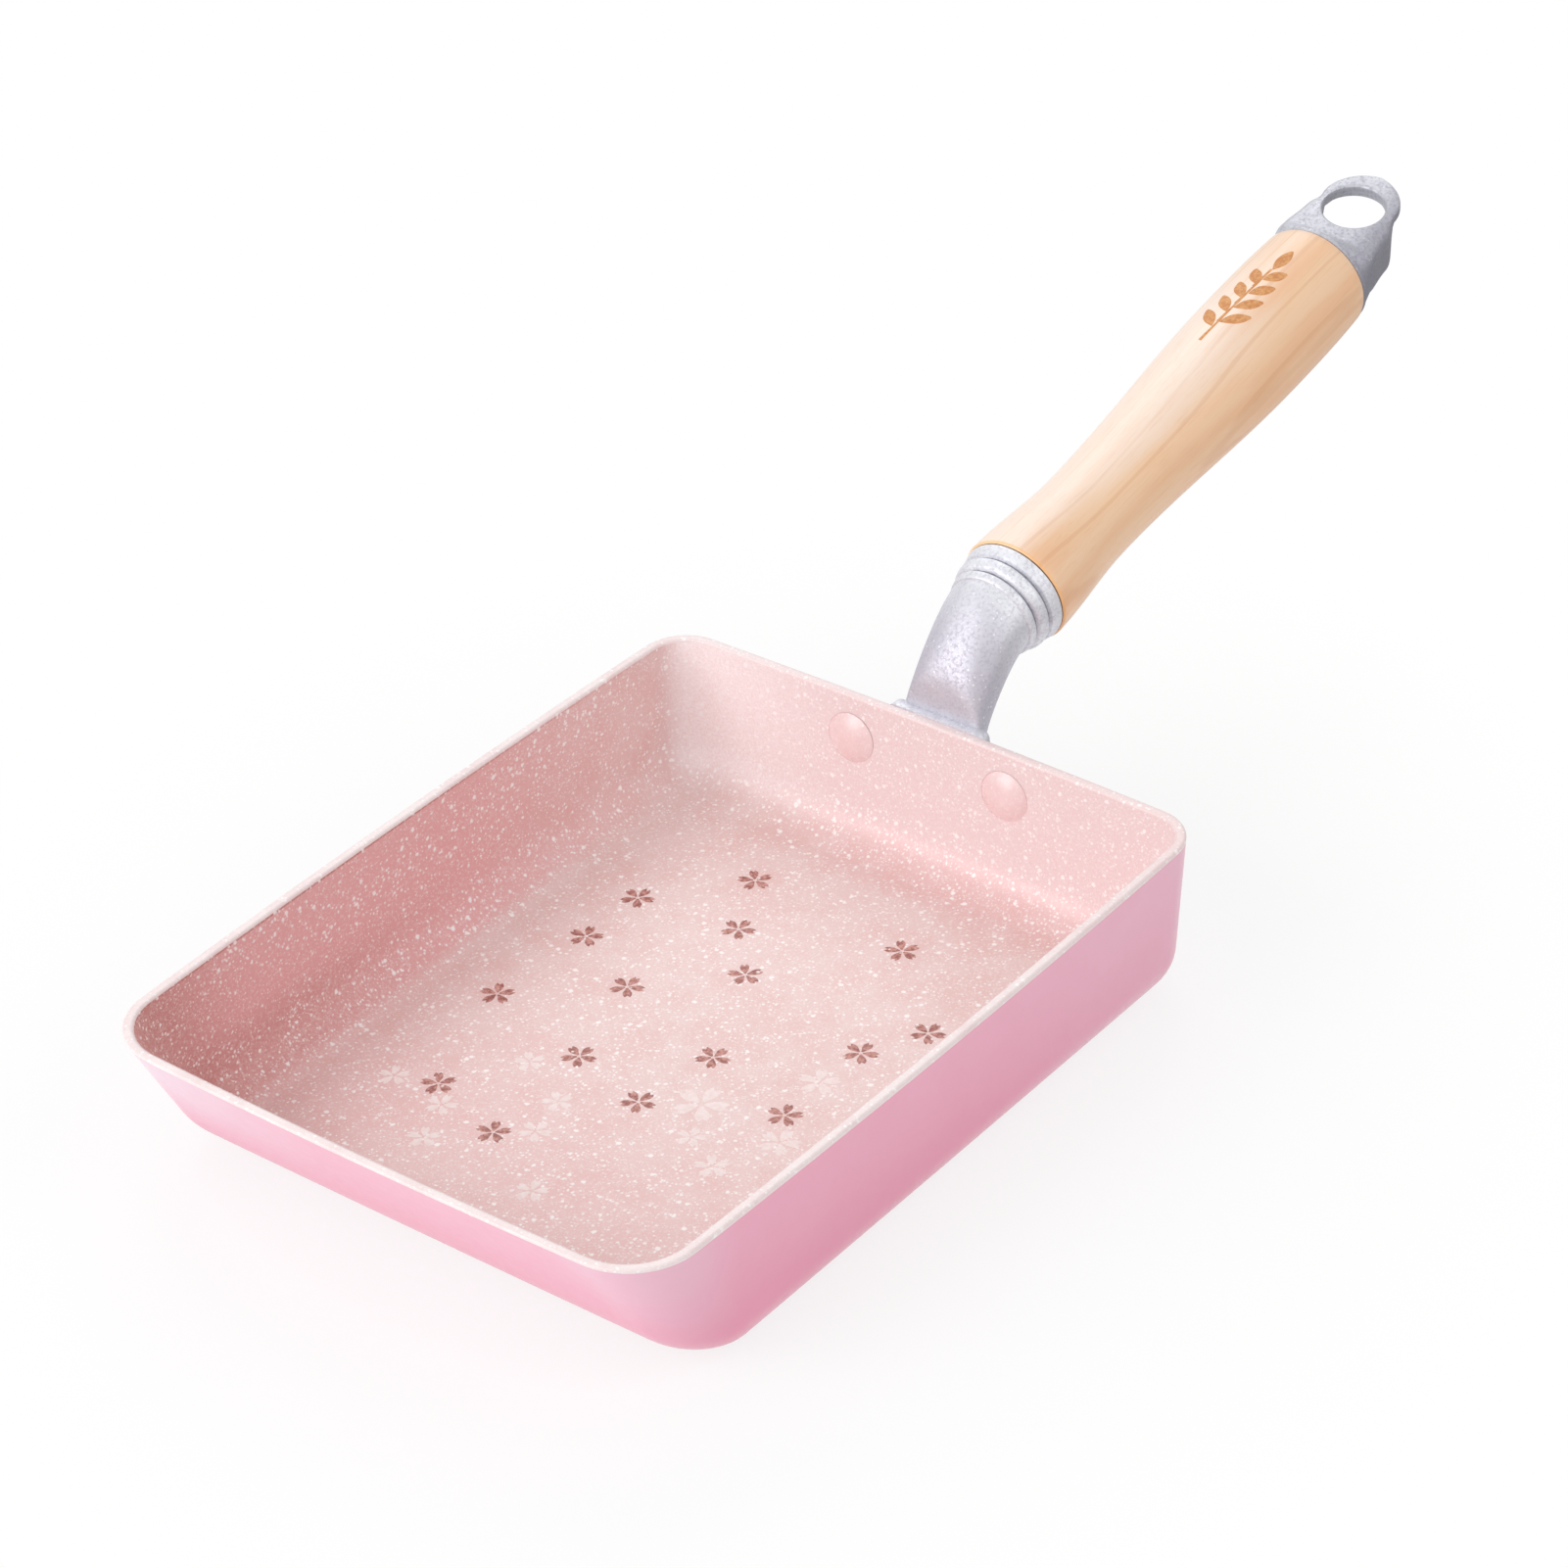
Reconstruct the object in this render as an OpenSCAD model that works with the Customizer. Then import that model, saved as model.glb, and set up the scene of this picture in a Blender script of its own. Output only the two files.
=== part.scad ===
// Rectangular rolled-omelette pan with a turned wooden handle, in millimetres.
// Origin: on the plane of the base's underside, below the middle of the rim.
// +Z is up, +X runs along the handle, and -X is the low sloping front wall.

/* [Pan] */
// Length of the rim along the handle direction, between its straight corner lines
rim_length = 180; // [160:1:200]
// Width of the rim across the handle direction
rim_width = 134.5; // [110:0.5:150]
// Height of the pan from its underside to the rim
pan_height = 36; // [32:0.5:42]
// Thickness of the pan's walls
wall = 2.2; // [1.8:0.1:3]
// Thickness of the pan's floor
floor_thickness = 3; // [2:0.1:4]
// How far the front wall leans out from base to rim
front_lean = 20; // [10:0.5:26]
// How far the rear wall leans out from base to rim
rear_lean = 2; // [1:0.1:4]
// How far each side wall leans out from base to rim
side_lean = 0.8; // [0.4:0.1:3]
// Outward bow of the long rim edges
long_bow = 1.1; // [0:0.1:2]
// Outward bow of the short rim edges
short_bow = 0.8; // [0:0.1:2]
// Plan radius of the front rim corners
front_corner = 15; // [13:0.5:18]
// Plan radius of the rear rim corners
rear_corner = 10.5; // [10:0.5:16]
// Plan radius of the corners at the base
base_corner = 12; // [11:0.5:14]
// Radius between the base and the side and rear walls, outside
base_fillet = 10; // [6:0.5:10]
// Radius between the base and the front wall, outside
front_fillet = 24; // [14:0.5:26]
// Depth of the ground contact face that stands proud of the painted underside
contact_step = 0.4; // [0.2:0.1:0.6]

/* [Rivets] */
// Distance of each rivet from the middle of the rear wall
rivet_offset = 19.5; // [16:0.5:24]
// Depth of the rivets below the rim
rivet_depth = 10; // [8:0.5:14]
// Diameter of the domed rivet head inside the pan
rivet_head = 11.4; // [9:0.2:13]
// Height of the domed rivet head
rivet_dome = 1.9; // [1:0.1:3]
// Diameter of the rivet shank
rivet_shank = 6; // [5:0.2:6.4]

/* [Bracket] */
// Thickness of the foot plate that is riveted to the rear wall
foot_thickness = 3.4; // [3:0.1:4.5]
// Width of each ear of the foot plate
ear_width = 15; // [13:0.5:16]
// Half-width of the neck across the handle direction
neck_half_width = 9.2; // [8:0.1:10]
// Half-thickness of the neck
neck_half_depth = 6.5; // [6:0.1:8]
// Radius of the socket where it meets the wood
socket_radius = 12.2; // [11.5:0.1:12.6]
// Length of the coned socket
socket_length = 9; // [8.6:0.2:11]

/* [Grip] */
// Angle of the handle above the horizontal, in degrees
handle_tilt = 11.5; // [8:0.5:14]
// Length of the wooden grip
grip_length = 116.6; // [100:0.2:130]
// Distance from the middle of the rim to the near end of the wood
grip_x = 119.1; // [115:0.1:125]
// Height of the centre of the near end of the wood
grip_z = 52.8; // [50:0.1:56]
// Radius of the wood at the bracket
near_radius = 12.5; // [12:0.1:13]
// Radius of the wood at its waist
waist_radius = 10.9; // [10:0.1:12]
// Radius of the wood at its belly
belly_radius = 13.45; // [12.6:0.05:14]
// Radius of the wood at the cap
far_radius = 12.9; // [12.2:0.1:13]

/* [Hanging cap] */
// Radius of the cap's thin flange
flange_radius = 12.7; // [12.4:0.1:13.2]
// Thickness of the flange
flange_thickness = 1.3; // [1.2:0.1:2]
// Distance from the wood to the centre of the hanging hole
hole_reach = 16; // [15.5:0.1:16.5]
// Radius of the hanging hole
hole_radius = 7; // [6:0.1:7.2]
// Half-width of the cap's body
cap_width = 10.7; // [10.4:0.1:11.4]
// Height of the cap's flat top above the handle's axis
cap_top = 9; // [8:0.1:9.2]
// Depth of the cap's body below the handle's axis
cap_depth = 4.6; // [4:0.1:6]
// Turn of the cap about the handle's axis, towards -Y, in degrees
cap_turn = 6; // [0:1:8]

/* [Hidden] */

half_x = rim_length / 2;
half_y = rim_width / 2;
rim_round = 0.5;
rim_mid = 0.3;
inner_fillet_extra = 2;
least_corner = 1.5;
corner_tuck = 0.8;
fillet_share = 0.62;
wall_shares = [0.66, 0.84, 1];
corner_steps = 9;
side_steps = 8;
fillet_steps = 9;
rod_radius = 3;
rod_clearance = 0.4;
rod_in_bracket = 9;
rod_in_cap = 5.5;
spigot_radius = 6.5;
spigot_length = 6;
fit_gap = 0.02;
ease_out_power = 3;
waist_at = 27;
belly_at = 92;
wood_chamfer = 0.6;
bore_gap = 0.1;
over = 1;
rear_angle = atan(rear_lean / pan_height);
rivet_z = pan_height - rivet_depth;

// Cross-section of a wall that leans out by lean over the height rise and meets the
// floor with radius r: its distance past the wall's foot at height h above the floor.
function turn(lean, rise) = atan2(rise, lean);
function run_in(lean, rise, r) = r * tan(turn(lean, rise) / 2);
function fillet_top(lean, rise, r) = run_in(lean, rise, r) * sin(turn(lean, rise));
function wall_out(lean, rise, r, h) =
    h >= fillet_top(lean, rise, r) ? lean * h / rise
    : sqrt(max(0, r * r - (r - h) * (r - h))) - run_in(lean, rise, r);

// One corner of a plan outline: an arc of radius r about centre c from angle a.
function corner(c, r, a) =
    [for (i = [0 : corner_steps]) c + r * [cos(a + 90 * i / corner_steps), sin(a + 90 * i / corner_steps)]];

// One bowed side of a plan outline between points p and q, without its ends.
function bowed(p, q, out, bow) =
    [for (i = [1 : side_steps - 1]) let (t = i / side_steps)
        p + (q - p) * t + out * bow * 4 * t * (1 - t)];

// Plan outline with its front at -f, rear at b and sides at s, always the same count.
function outline(f, b, s, rf, rr, bow_l, bow_s) = concat(
    corner([b - rr, s - rr], rr, 0),
    bowed([b - rr, s], [-f + rf, s], [0, 1], bow_l),
    corner([-f + rf, s - rf], rf, 90),
    bowed([-f, s - rf], [-f, -s + rf], [-1, 0], bow_s),
    corner([-f + rf, -s + rf], rf, 180),
    bowed([-f + rf, -s], [b - rr, -s], [0, -1], bow_l),
    corner([b - rr, -s + rr], rr, 270),
    bowed([b, -s + rr], [b, s - rr], [1, 0], bow_s));

// A ring of the pan's skin at height z. inset is 0 outside and the wall's thickness
// inside, base is the height of that skin's floor, and shrink rounds the rim over.
function skin_ring(z, inset, base, shrink) = let (
    h = z - base,
    k = z / pan_height,
    rf = front_fillet - inset,
    rb = base_fillet - inset + (inset > 0 ? inner_fillet_extra : 0),
    drop = base * [front_lean, rear_lean, side_lean] / pan_height,
    f = half_x - front_lean + drop[0] + wall_out(front_lean, pan_height, rf, h) - inset - shrink,
    b = half_x - rear_lean + drop[1] + wall_out(rear_lean, pan_height, rb, h) - inset - shrink,
    s = half_y - side_lean + drop[2] + wall_out(side_lean, pan_height, rb, h) - inset - shrink,
    tuck = corner_tuck * (rb - sqrt(max(0, rb * rb - pow(rb - min(h, rb), 2)))),
    cf = max(least_corner, base_corner + (front_corner - base_corner) * k - inset - shrink - tuck),
    cr = max(least_corner, base_corner + (rear_corner - base_corner) * k - inset - shrink - tuck))
    [for (p = outline(f, b, s, cf, cr, long_bow * k, short_bow * k)) [p[0], p[1], z]];

// Heights of the rings: close together in the fillet, then up the straight wall.
function heights(base, top) = concat(
    [for (i = [0 : fillet_steps]) base + front_fillet * fillet_share * pow(i / fillet_steps, 2)],
    [for (k = wall_shares) base + (top - base) * k]);

// A closed solid through rings of n points each, capped flat at both ends.
module skin_through(rings) {
    n = len(rings[0]);
    last = len(rings) - 1;
    points = [for (ring = rings) for (p = ring) p];
    sides = [for (j = [0 : last - 1]) for (i = [0 : n - 1])
        [j * n + i, (j + 1) * n + i, (j + 1) * n + (i + 1) % n, j * n + (i + 1) % n]];
    foot = [for (i = [0 : n - 1]) i];
    head = [for (i = [0 : n - 1]) last * n + n - 1 - i];
    polyhedron(points, concat([foot], sides, [head]), convexity = 6);
}

// Places its children at the near end of the wood with +Z along the handle.
module on_handle() {
    translate([grip_x, 0, grip_z]) rotate([0, 90 - handle_tilt, 0]) children();
}

// Outer face of the rear wall at width y and the rivets' height.
function rear_face(y) = half_x - rear_lean * (1 - rivet_z / pan_height)
    + short_bow * (rivet_z / pan_height) * (1 - pow(y / (half_y - rear_corner), 2));

// Places its children at a rivet hole, with +Z pointing out of the pan.
module at_rivet(side) {
    y = side * rivet_offset;
    translate([rear_face(y), y, rivet_z]) rotate([0, 90 + rear_angle, 0]) children();
}

// Pressed and painted vessel with its ground contact face and two rivet holes.
module pan_body() {
    under = [for (z = heights(contact_step, pan_height - rim_round)) skin_ring(z, 0, contact_step, 0)];
    mid = rim_round * rim_mid;
    lip = [skin_ring(pan_height - mid, 0, contact_step, mid),
           skin_ring(pan_height, 0, contact_step, rim_round)];
    lip_in = [skin_ring(pan_height, wall, floor_thickness, -rim_round),
              skin_ring(pan_height - mid, wall, floor_thickness, -mid)];
    inner_z = heights(floor_thickness, pan_height - rim_round);
    bowl = [for (i = [len(inner_z) - 1 : -1 : 0]) skin_ring(inner_z[i], wall, floor_thickness, 0)];
    color("pink") difference() {
        union() {
            skin_through(concat(under, lip, lip_in, bowl));
            contact_face();
        }
        for (side = [-1, 1]) at_rivet(side) translate([0, 0, -wall - 3 * over])
            cylinder(r = rivet_shank / 2, h = wall + 6 * over, $fn = 32);
    }
}

// Flat ground face that the pan stands on.
module contact_face() {
    margin = 1;
    front_edge = half_x - front_lean - run_in(front_lean, pan_height, front_fillet) - margin;
    rear_edge = half_x - rear_lean - base_fillet - margin;
    side_edge = half_y - side_lean - base_fillet - margin;
    corner_radius = 6;
    sunk_in = 0.4;
    linear_extrude(contact_step + sunk_in) union() {
        translate([-front_edge + corner_radius, -side_edge])
            square([front_edge + rear_edge - 2 * corner_radius, 2 * side_edge]);
        translate([-front_edge, -side_edge + corner_radius])
            square([front_edge + rear_edge, 2 * (side_edge - corner_radius)]);
        for (x = [-front_edge + corner_radius, rear_edge - corner_radius])
            for (y = [-side_edge + corner_radius, side_edge - corner_radius])
                translate([x, y]) circle(corner_radius, $fn = 32);
    }
}

// One rivet: a low dome inside the pan, a shank, and the upset tail behind the foot.
module rivet(side) {
    dome_radius = (pow(rivet_head / 2, 2) + rivet_dome * rivet_dome) / (2 * rivet_dome);
    grip = wall + foot_thickness + 2 * fit_gap;
    tail_radius = rivet_shank * 0.78;
    tail_height = 1.9;
    tail_straight = 0.8;
    tail_top_share = 0.7;
    color("lightpink") at_rivet(side) union() {
        translate([0, 0, -wall - fit_gap]) rotate([180, 0, 0]) intersection() {
            translate([0, 0, rivet_dome - dome_radius]) sphere(dome_radius, $fn = 64);
            cylinder(r = rivet_head / 2, h = rivet_dome + over, $fn = 64);
        }
        translate([0, 0, -wall - fit_gap]) cylinder(r = rivet_shank / 2 - fit_gap, h = grip, $fn = 32);
        translate([0, 0, grip - wall - fit_gap]) rotate_extrude($fn = 48)
            polygon([[0, 0], [tail_radius, 0], [tail_radius, tail_straight],
                     [tail_radius * tail_top_share, tail_height], [0, tail_height]]);
    }
}

module rivet_left() { rivet(1); }
module rivet_right() { rivet(-1); }

// Centre line of the neck in the vertical plane: a cubic curve from inside the foot
// plate to the socket, which it meets along the handle's own axis.
handle_run = [cos(handle_tilt), sin(handle_tilt)];
socket_start = [grip_x, grip_z] - socket_length * handle_run;
neck_root = [half_x - 1.6, rivet_z + 3.3];
neck_root_pull = [7.3, 7];
neck_socket_pull = 7.3;
neck_curve = [neck_root, neck_root + neck_root_pull,
              socket_start - neck_socket_pull * handle_run, socket_start + handle_run];
function bezier(c, t) = pow(1 - t, 3) * c[0] + 3 * t * pow(1 - t, 2) * c[1]
    + 3 * t * t * (1 - t) * c[2] + pow(t, 3) * c[3];
function bezier_run(c, t) = 3 * pow(1 - t, 2) * (c[1] - c[0])
    + 6 * t * (1 - t) * (c[2] - c[1]) + 3 * t * t * (c[3] - c[2]);

// Section of the neck at t, square to the centre line: a rounded rectangle at the foot
// that turns into a circle at the socket. Its front stays behind the plane x = neck_front.
neck_steps = 16;
neck_sides = 40;
neck_end_radius = 9.9;
neck_front = half_x + 2.6;
neck_front_round = 6;
neck_flare = 1.6;
neck_flare_end = 0.42;
neck_power = 2.8;
circle_power = 2;
function grow(from, to, t) = from + (to - from) * pow(t, 3);
function flare(t) = pow(max(0, 1 - t / neck_flare_end), 2);
function squarish(v, p) = sign(v) * pow(abs(v), 2 / p);
function held_behind(x) = (x + neck_front + sqrt(pow(x - neck_front, 2) + neck_front_round)) / 2;
function neck_ring(t) = let (
    c = bezier(neck_curve, t),
    d = bezier_run(neck_curve, t),
    a = atan2(d[1], d[0]),
    p = neck_power + (circle_power - neck_power) * t,
    w = grow(neck_half_width, neck_end_radius, t) + neck_flare * flare(t),
    h = grow(neck_half_depth, neck_end_radius, t))
    [for (i = [0 : neck_sides - 1]) let (
        q = 360 * i / neck_sides,
        up = h * squarish(cos(q), p),
        x = c[0] - up * sin(a))
        [t == 0 ? x : held_behind(x), -w * squarish(sin(q), p), c[1] + up * cos(a)]];

// Coned socket with an end band and one raised ring, turned about the handle's axis.
module socket() {
    groove = 0.5;
    land = 0.25;
    edge = 0.3;
    ring_rise = 0.3;
    band_end = 2.9;
    ring_start = 3.7;
    ring_middle = 5;
    ring_end = 6.3;
    body_start = 7.1;
    small_radius = 10.15;
    slope = (socket_radius - small_radius) / socket_length;
    function cone(z) = socket_radius - slope * z;
    rotate([180, 0, 0]) rotate_extrude($fn = 96)
        polygon([[0, 0], [socket_radius - edge, 0], [socket_radius, edge], [cone(band_end), band_end],
                 [cone(band_end) - groove, band_end + land], [cone(ring_start) - groove, ring_start - land],
                 [cone(ring_start), ring_start], [cone(ring_middle) + ring_rise, ring_middle],
                 [cone(ring_end), ring_end], [cone(ring_end) - groove, ring_end + land],
                 [cone(body_start) - groove, body_start - land], [cone(body_start), body_start],
                 [cone(socket_length - edge), socket_length - edge],
                 [small_radius - edge, socket_length], [0, socket_length]]);
    cylinder(r = spigot_radius, h = spigot_length, $fn = 48);
}

// Foot plate: two ears joined by a deeper middle, lying against the rear wall.
module foot_plate() {
    middle_width = 24;
    middle_height = 27;
    middle_corner = 3;
    above_rim = 0.3;
    top = rivet_depth + above_rim;
    rotate([0, 0, 90]) linear_extrude(foot_thickness) union() {
        square([2 * rivet_offset, ear_width], center = true);
        for (side = [-1, 1]) translate([side * rivet_offset, 0]) circle(ear_width / 2, $fn = 48);
        translate([-middle_width / 2, top - middle_height + middle_corner])
            square([middle_width, middle_height - middle_corner]);
        translate([-middle_width / 2 + middle_corner, top - middle_height])
            square([middle_width - 2 * middle_corner, middle_height]);
        for (side = [-1, 1])
            translate([side * (middle_width / 2 - middle_corner), top - middle_height + middle_corner])
                circle(middle_corner, $fn = 32);
    }
}

// Cast elbow that carries the handle.
module handle_bracket() {
    rings = [for (i = [0 : neck_steps]) neck_ring(i / neck_steps)];
    block = [80, 80, 30];
    color("silver") difference() {
        union() {
            skin_through(rings);
            on_handle() socket();
            translate([rear_face(0) + fit_gap, 0, rivet_z]) rotate([0, 90 + rear_angle, 0]) foot_plate();
        }
        translate([rear_face(0) + fit_gap, 0, rivet_z]) rotate([0, 90 + rear_angle, 0])
            translate([-block[0] / 2, -block[1] / 2, -block[2]]) cube(block);
        for (side = [-1, 1]) at_rivet(side) translate([0, 0, -over])
            cylinder(r = rivet_shank / 2, h = foot_thickness + 12 * over, $fn = 32);
        on_handle() translate([0, 0, -rod_in_bracket])
            cylinder(r = rod_radius, h = rod_in_bracket + spigot_length + over, $fn = 32);
    }
}

// Radius of the turned wood at distance t from the bracket.
function blend(s) = (1 - cos(180 * s)) / 2;
function wood_radius(t) =
    t < waist_at ? near_radius + (waist_radius - near_radius) * blend(t / waist_at)
    : t < belly_at
        ? waist_radius + (belly_radius - waist_radius) * blend((t - waist_at) / (belly_at - waist_at))
    : belly_radius
        + (far_radius - belly_radius) * pow((t - belly_at) / (grip_length - belly_at), ease_out_power);

// Turned wooden grip, drilled through for the rod and counterbored at both ends.
module wood_grip() {
    steps = 40;
    side = [for (i = [1 : steps - 1]) let (t = grip_length * i / steps) [wood_radius(t), t]];
    color("burlywood") on_handle() difference() {
        rotate_extrude($fn = 96)
            polygon(concat([[0, 0], [near_radius - wood_chamfer, 0], [near_radius, wood_chamfer]], side,
                [[far_radius, grip_length - wood_chamfer], [far_radius - wood_chamfer, grip_length],
                 [0, grip_length]]));
        translate([0, 0, -over])
            cylinder(r = rod_radius + rod_clearance, h = grip_length + 2 * over, $fn = 32);
        translate([0, 0, -over])
            cylinder(r = spigot_radius + bore_gap, h = spigot_length + 2 * bore_gap + over, $fn = 48);
        translate([0, 0, grip_length - spigot_length - 2 * bore_gap])
            cylinder(r = spigot_radius + bore_gap, h = spigot_length + 2 * bore_gap + over, $fn = 48);
    }
}

// Threaded rod that draws the cap, the wood and the bracket together.
module tie_rod() {
    end_chamfer = 0.8;
    end_gap = 1;
    start = -rod_in_bracket + end_gap;
    end = grip_length + rod_in_cap - end_gap;
    color("gray") on_handle() rotate_extrude($fn = 48)
        polygon([[0, start], [rod_radius - end_chamfer, start], [rod_radius, start + end_chamfer],
                 [rod_radius, end - end_chamfer], [rod_radius - end_chamfer, end], [0, end]]);
}

// Shape of the cap along u, its distance from the wood. The body is a rounded box as far
// as body_end, and from there only the plate with the hanging hole runs on to the tip.
body_end = 15.5;
underside_rise = 3;
tip_radius = 8.9;
tip_centre = 18.5;
tip_blend = 5.5;
tip_least = 0.09;
plate_depth = 3.4;
cap_start_radius = 12.3;
side_taper = 14;
top_taper = 5.5;
low_taper = 5;
round_power = 2;
box_power = 5;
squaring_length = 7;
function fade(u, length) = blend(max(0, 1 - u / length));
function rise(u, length) = blend(min(1, (u - body_end) / length));
function tip_half_width(u) = sqrt(max(tip_least, pow(tip_radius, 2) - pow(u - tip_centre, 2)));
function cap_side(u) = cap_width + (cap_start_radius - cap_width) * fade(u, side_taper);
function cap_half_width(u) = u < tip_centre ? cap_side(u) - (cap_side(tip_centre) - tip_radius)
        * blend(max(0, 1 - (tip_centre - u) / tip_blend))
    : tip_half_width(u);
function cap_high(u) = cap_top + (cap_start_radius - cap_top) * fade(u, top_taper);
function cap_low(u) = u < body_end ? -cap_depth - (cap_start_radius - cap_depth) * fade(u, low_taper)
    : cap_top - plate_depth - (cap_depth + cap_top - plate_depth) * (1 - rise(u, underside_rise));
cap_sides = 56;
function cap_ring(u) = let (
    w = cap_half_width(u),
    mid = (cap_high(u) + cap_low(u)) / 2,
    h = (cap_high(u) - cap_low(u)) / 2,
    p = round_power + (box_power - round_power) * (1 - fade(u, squaring_length)))
    [for (i = [0 : cap_sides - 1]) let (q = 360 * i / cap_sides)
        [mid + h * squarish(cos(q), p), w * squarish(sin(q), p), u]];

// Hanging hole: a straight wall in the top plate with a small bevel above and a wide
// cone below, so that the hole stays open to a slanting look or hook.
module hanging_hole() {
    cone_depth = 2.4;
    cone_run = 1.6;
    cylinder(r = hole_radius, h = cap_top + 10 * over, $fn = 64);
    translate([0, 0, cap_top - bevel])
        cylinder(r1 = hole_radius, r2 = hole_radius + 2 * bevel, h = 2 * bevel, $fn = 64);
    translate([0, 0, hole_wall_low - cone_depth])
        cylinder(r1 = hole_radius + cone_run, r2 = hole_radius, h = cone_depth, $fn = 64);
}

// Hollow of the cap below the plate, open downwards and at the end.
module cap_hollow() {
    hollow_start = 8.6;
    hollow_half_width = 8.4;
    hollow_corner = 3;
    reach = 30;
    below = 20;
    translate([0, 0, -below]) linear_extrude(below + hollow_ceiling) union() {
        translate([hollow_start + hollow_corner, -hollow_half_width]) square([reach, 2 * hollow_half_width]);
        translate([hollow_start, -hollow_half_width + hollow_corner])
            square([reach, 2 * (hollow_half_width - hollow_corner)]);
        for (side = [-1, 1])
            translate([hollow_start + hollow_corner, side * (hollow_half_width - hollow_corner)])
                circle(hollow_corner, $fn = 32);
    }
}

// End cap: a flange against the wood, a hollow body and a flat plate with the hole.
bevel = 0.5;
hole_wall = 2;
hole_wall_low = cap_top - bevel - hole_wall;
hollow_ceiling = cap_top - plate_depth - 0.9;
module hanging_cap() {
    body_steps = 12;
    tip_steps = 10;
    tip = tip_centre + tip_radius;
    first = 1;
    body = [for (i = [0 : body_steps]) cap_ring(first + (body_end - first) * i / body_steps)];
    loop = [for (i = [1 : tip_steps]) cap_ring(body_end + (tip - body_end) * sin(90 * i / tip_steps))];
    edge = 0.4;
    color("silver") on_handle() translate([0, 0, grip_length]) rotate([0, 0, cap_turn]) difference() {
        union() {
            rotate([0, 0, 180]) skin_through(concat(body, loop));
            rotate_extrude($fn = 96)
                polygon([[0, 0], [flange_radius - edge, 0], [flange_radius, edge],
                         [flange_radius, flange_thickness - edge], [flange_radius - edge, flange_thickness],
                         [0, flange_thickness]]);
            translate([0, 0, -spigot_length]) cylinder(r = spigot_radius, h = spigot_length + over, $fn = 48);
        }
        rotate([0, -90, 0]) {
            translate([hole_reach, 0, 0]) hanging_hole();
            cap_hollow();
        }
        translate([0, 0, -spigot_length - over])
            cylinder(r = rod_radius, h = spigot_length + over + rod_in_cap, $fn = 32);
    }
}

pan_body();
rivet_left();
rivet_right();
handle_bracket();
wood_grip();
tie_rod();
hanging_cap();
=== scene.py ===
"""Looks of a rectangular rolled-omelette pan with a turned wooden handle.

Lengths in the classes are millimetres and become metres when a piece is finished. The
origin is on the plane of the base, below the middle of the rim; +Z is up and +X runs
along the handle.
"""

import logging
import math
from collections.abc import Callable, Sequence
from dataclasses import dataclass, field
from enum import Enum

import bmesh
import bpy
from mathutils import Matrix, Vector

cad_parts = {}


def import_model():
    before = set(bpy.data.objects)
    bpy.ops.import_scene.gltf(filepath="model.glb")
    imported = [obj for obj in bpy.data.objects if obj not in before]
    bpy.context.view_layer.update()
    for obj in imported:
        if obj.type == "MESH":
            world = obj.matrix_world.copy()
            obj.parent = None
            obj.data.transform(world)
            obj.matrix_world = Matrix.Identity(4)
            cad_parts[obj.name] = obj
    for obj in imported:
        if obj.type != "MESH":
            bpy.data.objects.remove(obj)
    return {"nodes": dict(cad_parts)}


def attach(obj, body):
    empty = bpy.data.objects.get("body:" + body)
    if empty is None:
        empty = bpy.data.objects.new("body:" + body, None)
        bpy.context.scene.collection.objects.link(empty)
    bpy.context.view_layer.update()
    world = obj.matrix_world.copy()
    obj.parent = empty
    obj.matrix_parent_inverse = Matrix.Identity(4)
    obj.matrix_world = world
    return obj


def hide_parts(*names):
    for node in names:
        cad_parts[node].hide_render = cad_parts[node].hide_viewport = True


MM = 0.001
IMAGE_SIDE_PX = 1601
MERGE_MM = 1e-4

Point = tuple[float, float, float]
Pair = tuple[float, float]
Rgb = tuple[int, int, int]
Stretch = tuple[Point, float, float]
Socket = bpy.types.NodeSocket
Material = bpy.types.Material
Mesh = bmesh.types.BMesh
Piece = bpy.types.Object

log = logging.getLogger("pan")


def linear(colour: Rgb) -> tuple[float, float, float, float]:
    """Turns a screen colour into the values that a shader socket takes.

    Args:
        colour: Red, green and blue from 0 to 255.

    Returns:
        Linear red, green and blue with an alpha of 1.
    """
    parts = []
    for channel in colour:
        share = channel / 255
        parts.append(share / 12.92 if share <= 0.04045 else ((share + 0.055) / 1.055) ** 2.4)
    return (parts[0], parts[1], parts[2], 1.0)


def ease(share: float) -> float:
    """Returns share, held from 0 to 1, with a smooth start and end."""
    return (1 - math.cos(math.pi * max(0.0, min(1.0, share)))) / 2


def signed_power(value: float, power: float) -> float:
    """Returns the power of the value's size with the value's sign."""
    return math.copysign(abs(value) ** power, value)


# ---------------------------------------------------------------- finishes


LENGTHWISE: Point = (1.0, 0.0, 0.0)
ACROSS: Point = (0.0, 1.0, 0.0)
UPWARD: Point = (0.0, 0.0, 1.0)
REAR_RIGHT: Point = (1.0, -1.0, 0.0)
FRONT_RIGHT: Point = (-1.0, -1.0, 0.0)

# Regions where painted light and shade go inside the pan: the left wall, the rear wall and the bend
# at its foot.
LEFT_WALL: tuple[Stretch, ...] = (
    (UPWARD, 2.6, 5.5),
    (ACROSS, 42.0, 56.0),
    (LENGTHWISE, 104.0, -20.0),
    (REAR_RIGHT, 27.0, 15.0),
)
REAR_WALL: tuple[Stretch, ...] = (
    (UPWARD, 3.0, 10.0),
    (LENGTHWISE, 58.0, 80.0),
    (REAR_RIGHT, 15.0, 25.0),
)
REAR_FOOT: tuple[Stretch, ...] = (
    (UPWARD, 12.0, 6.0),
    (LENGTHWISE, 70.0, 80.0),
    (ACROSS, 45.0, 0.0),
)
# Limits the castings' painted shade to the neck, past the rear wall.
PAST_REAR_WALL: Stretch = (LENGTHWISE, 90.5, 94.5)


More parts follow.
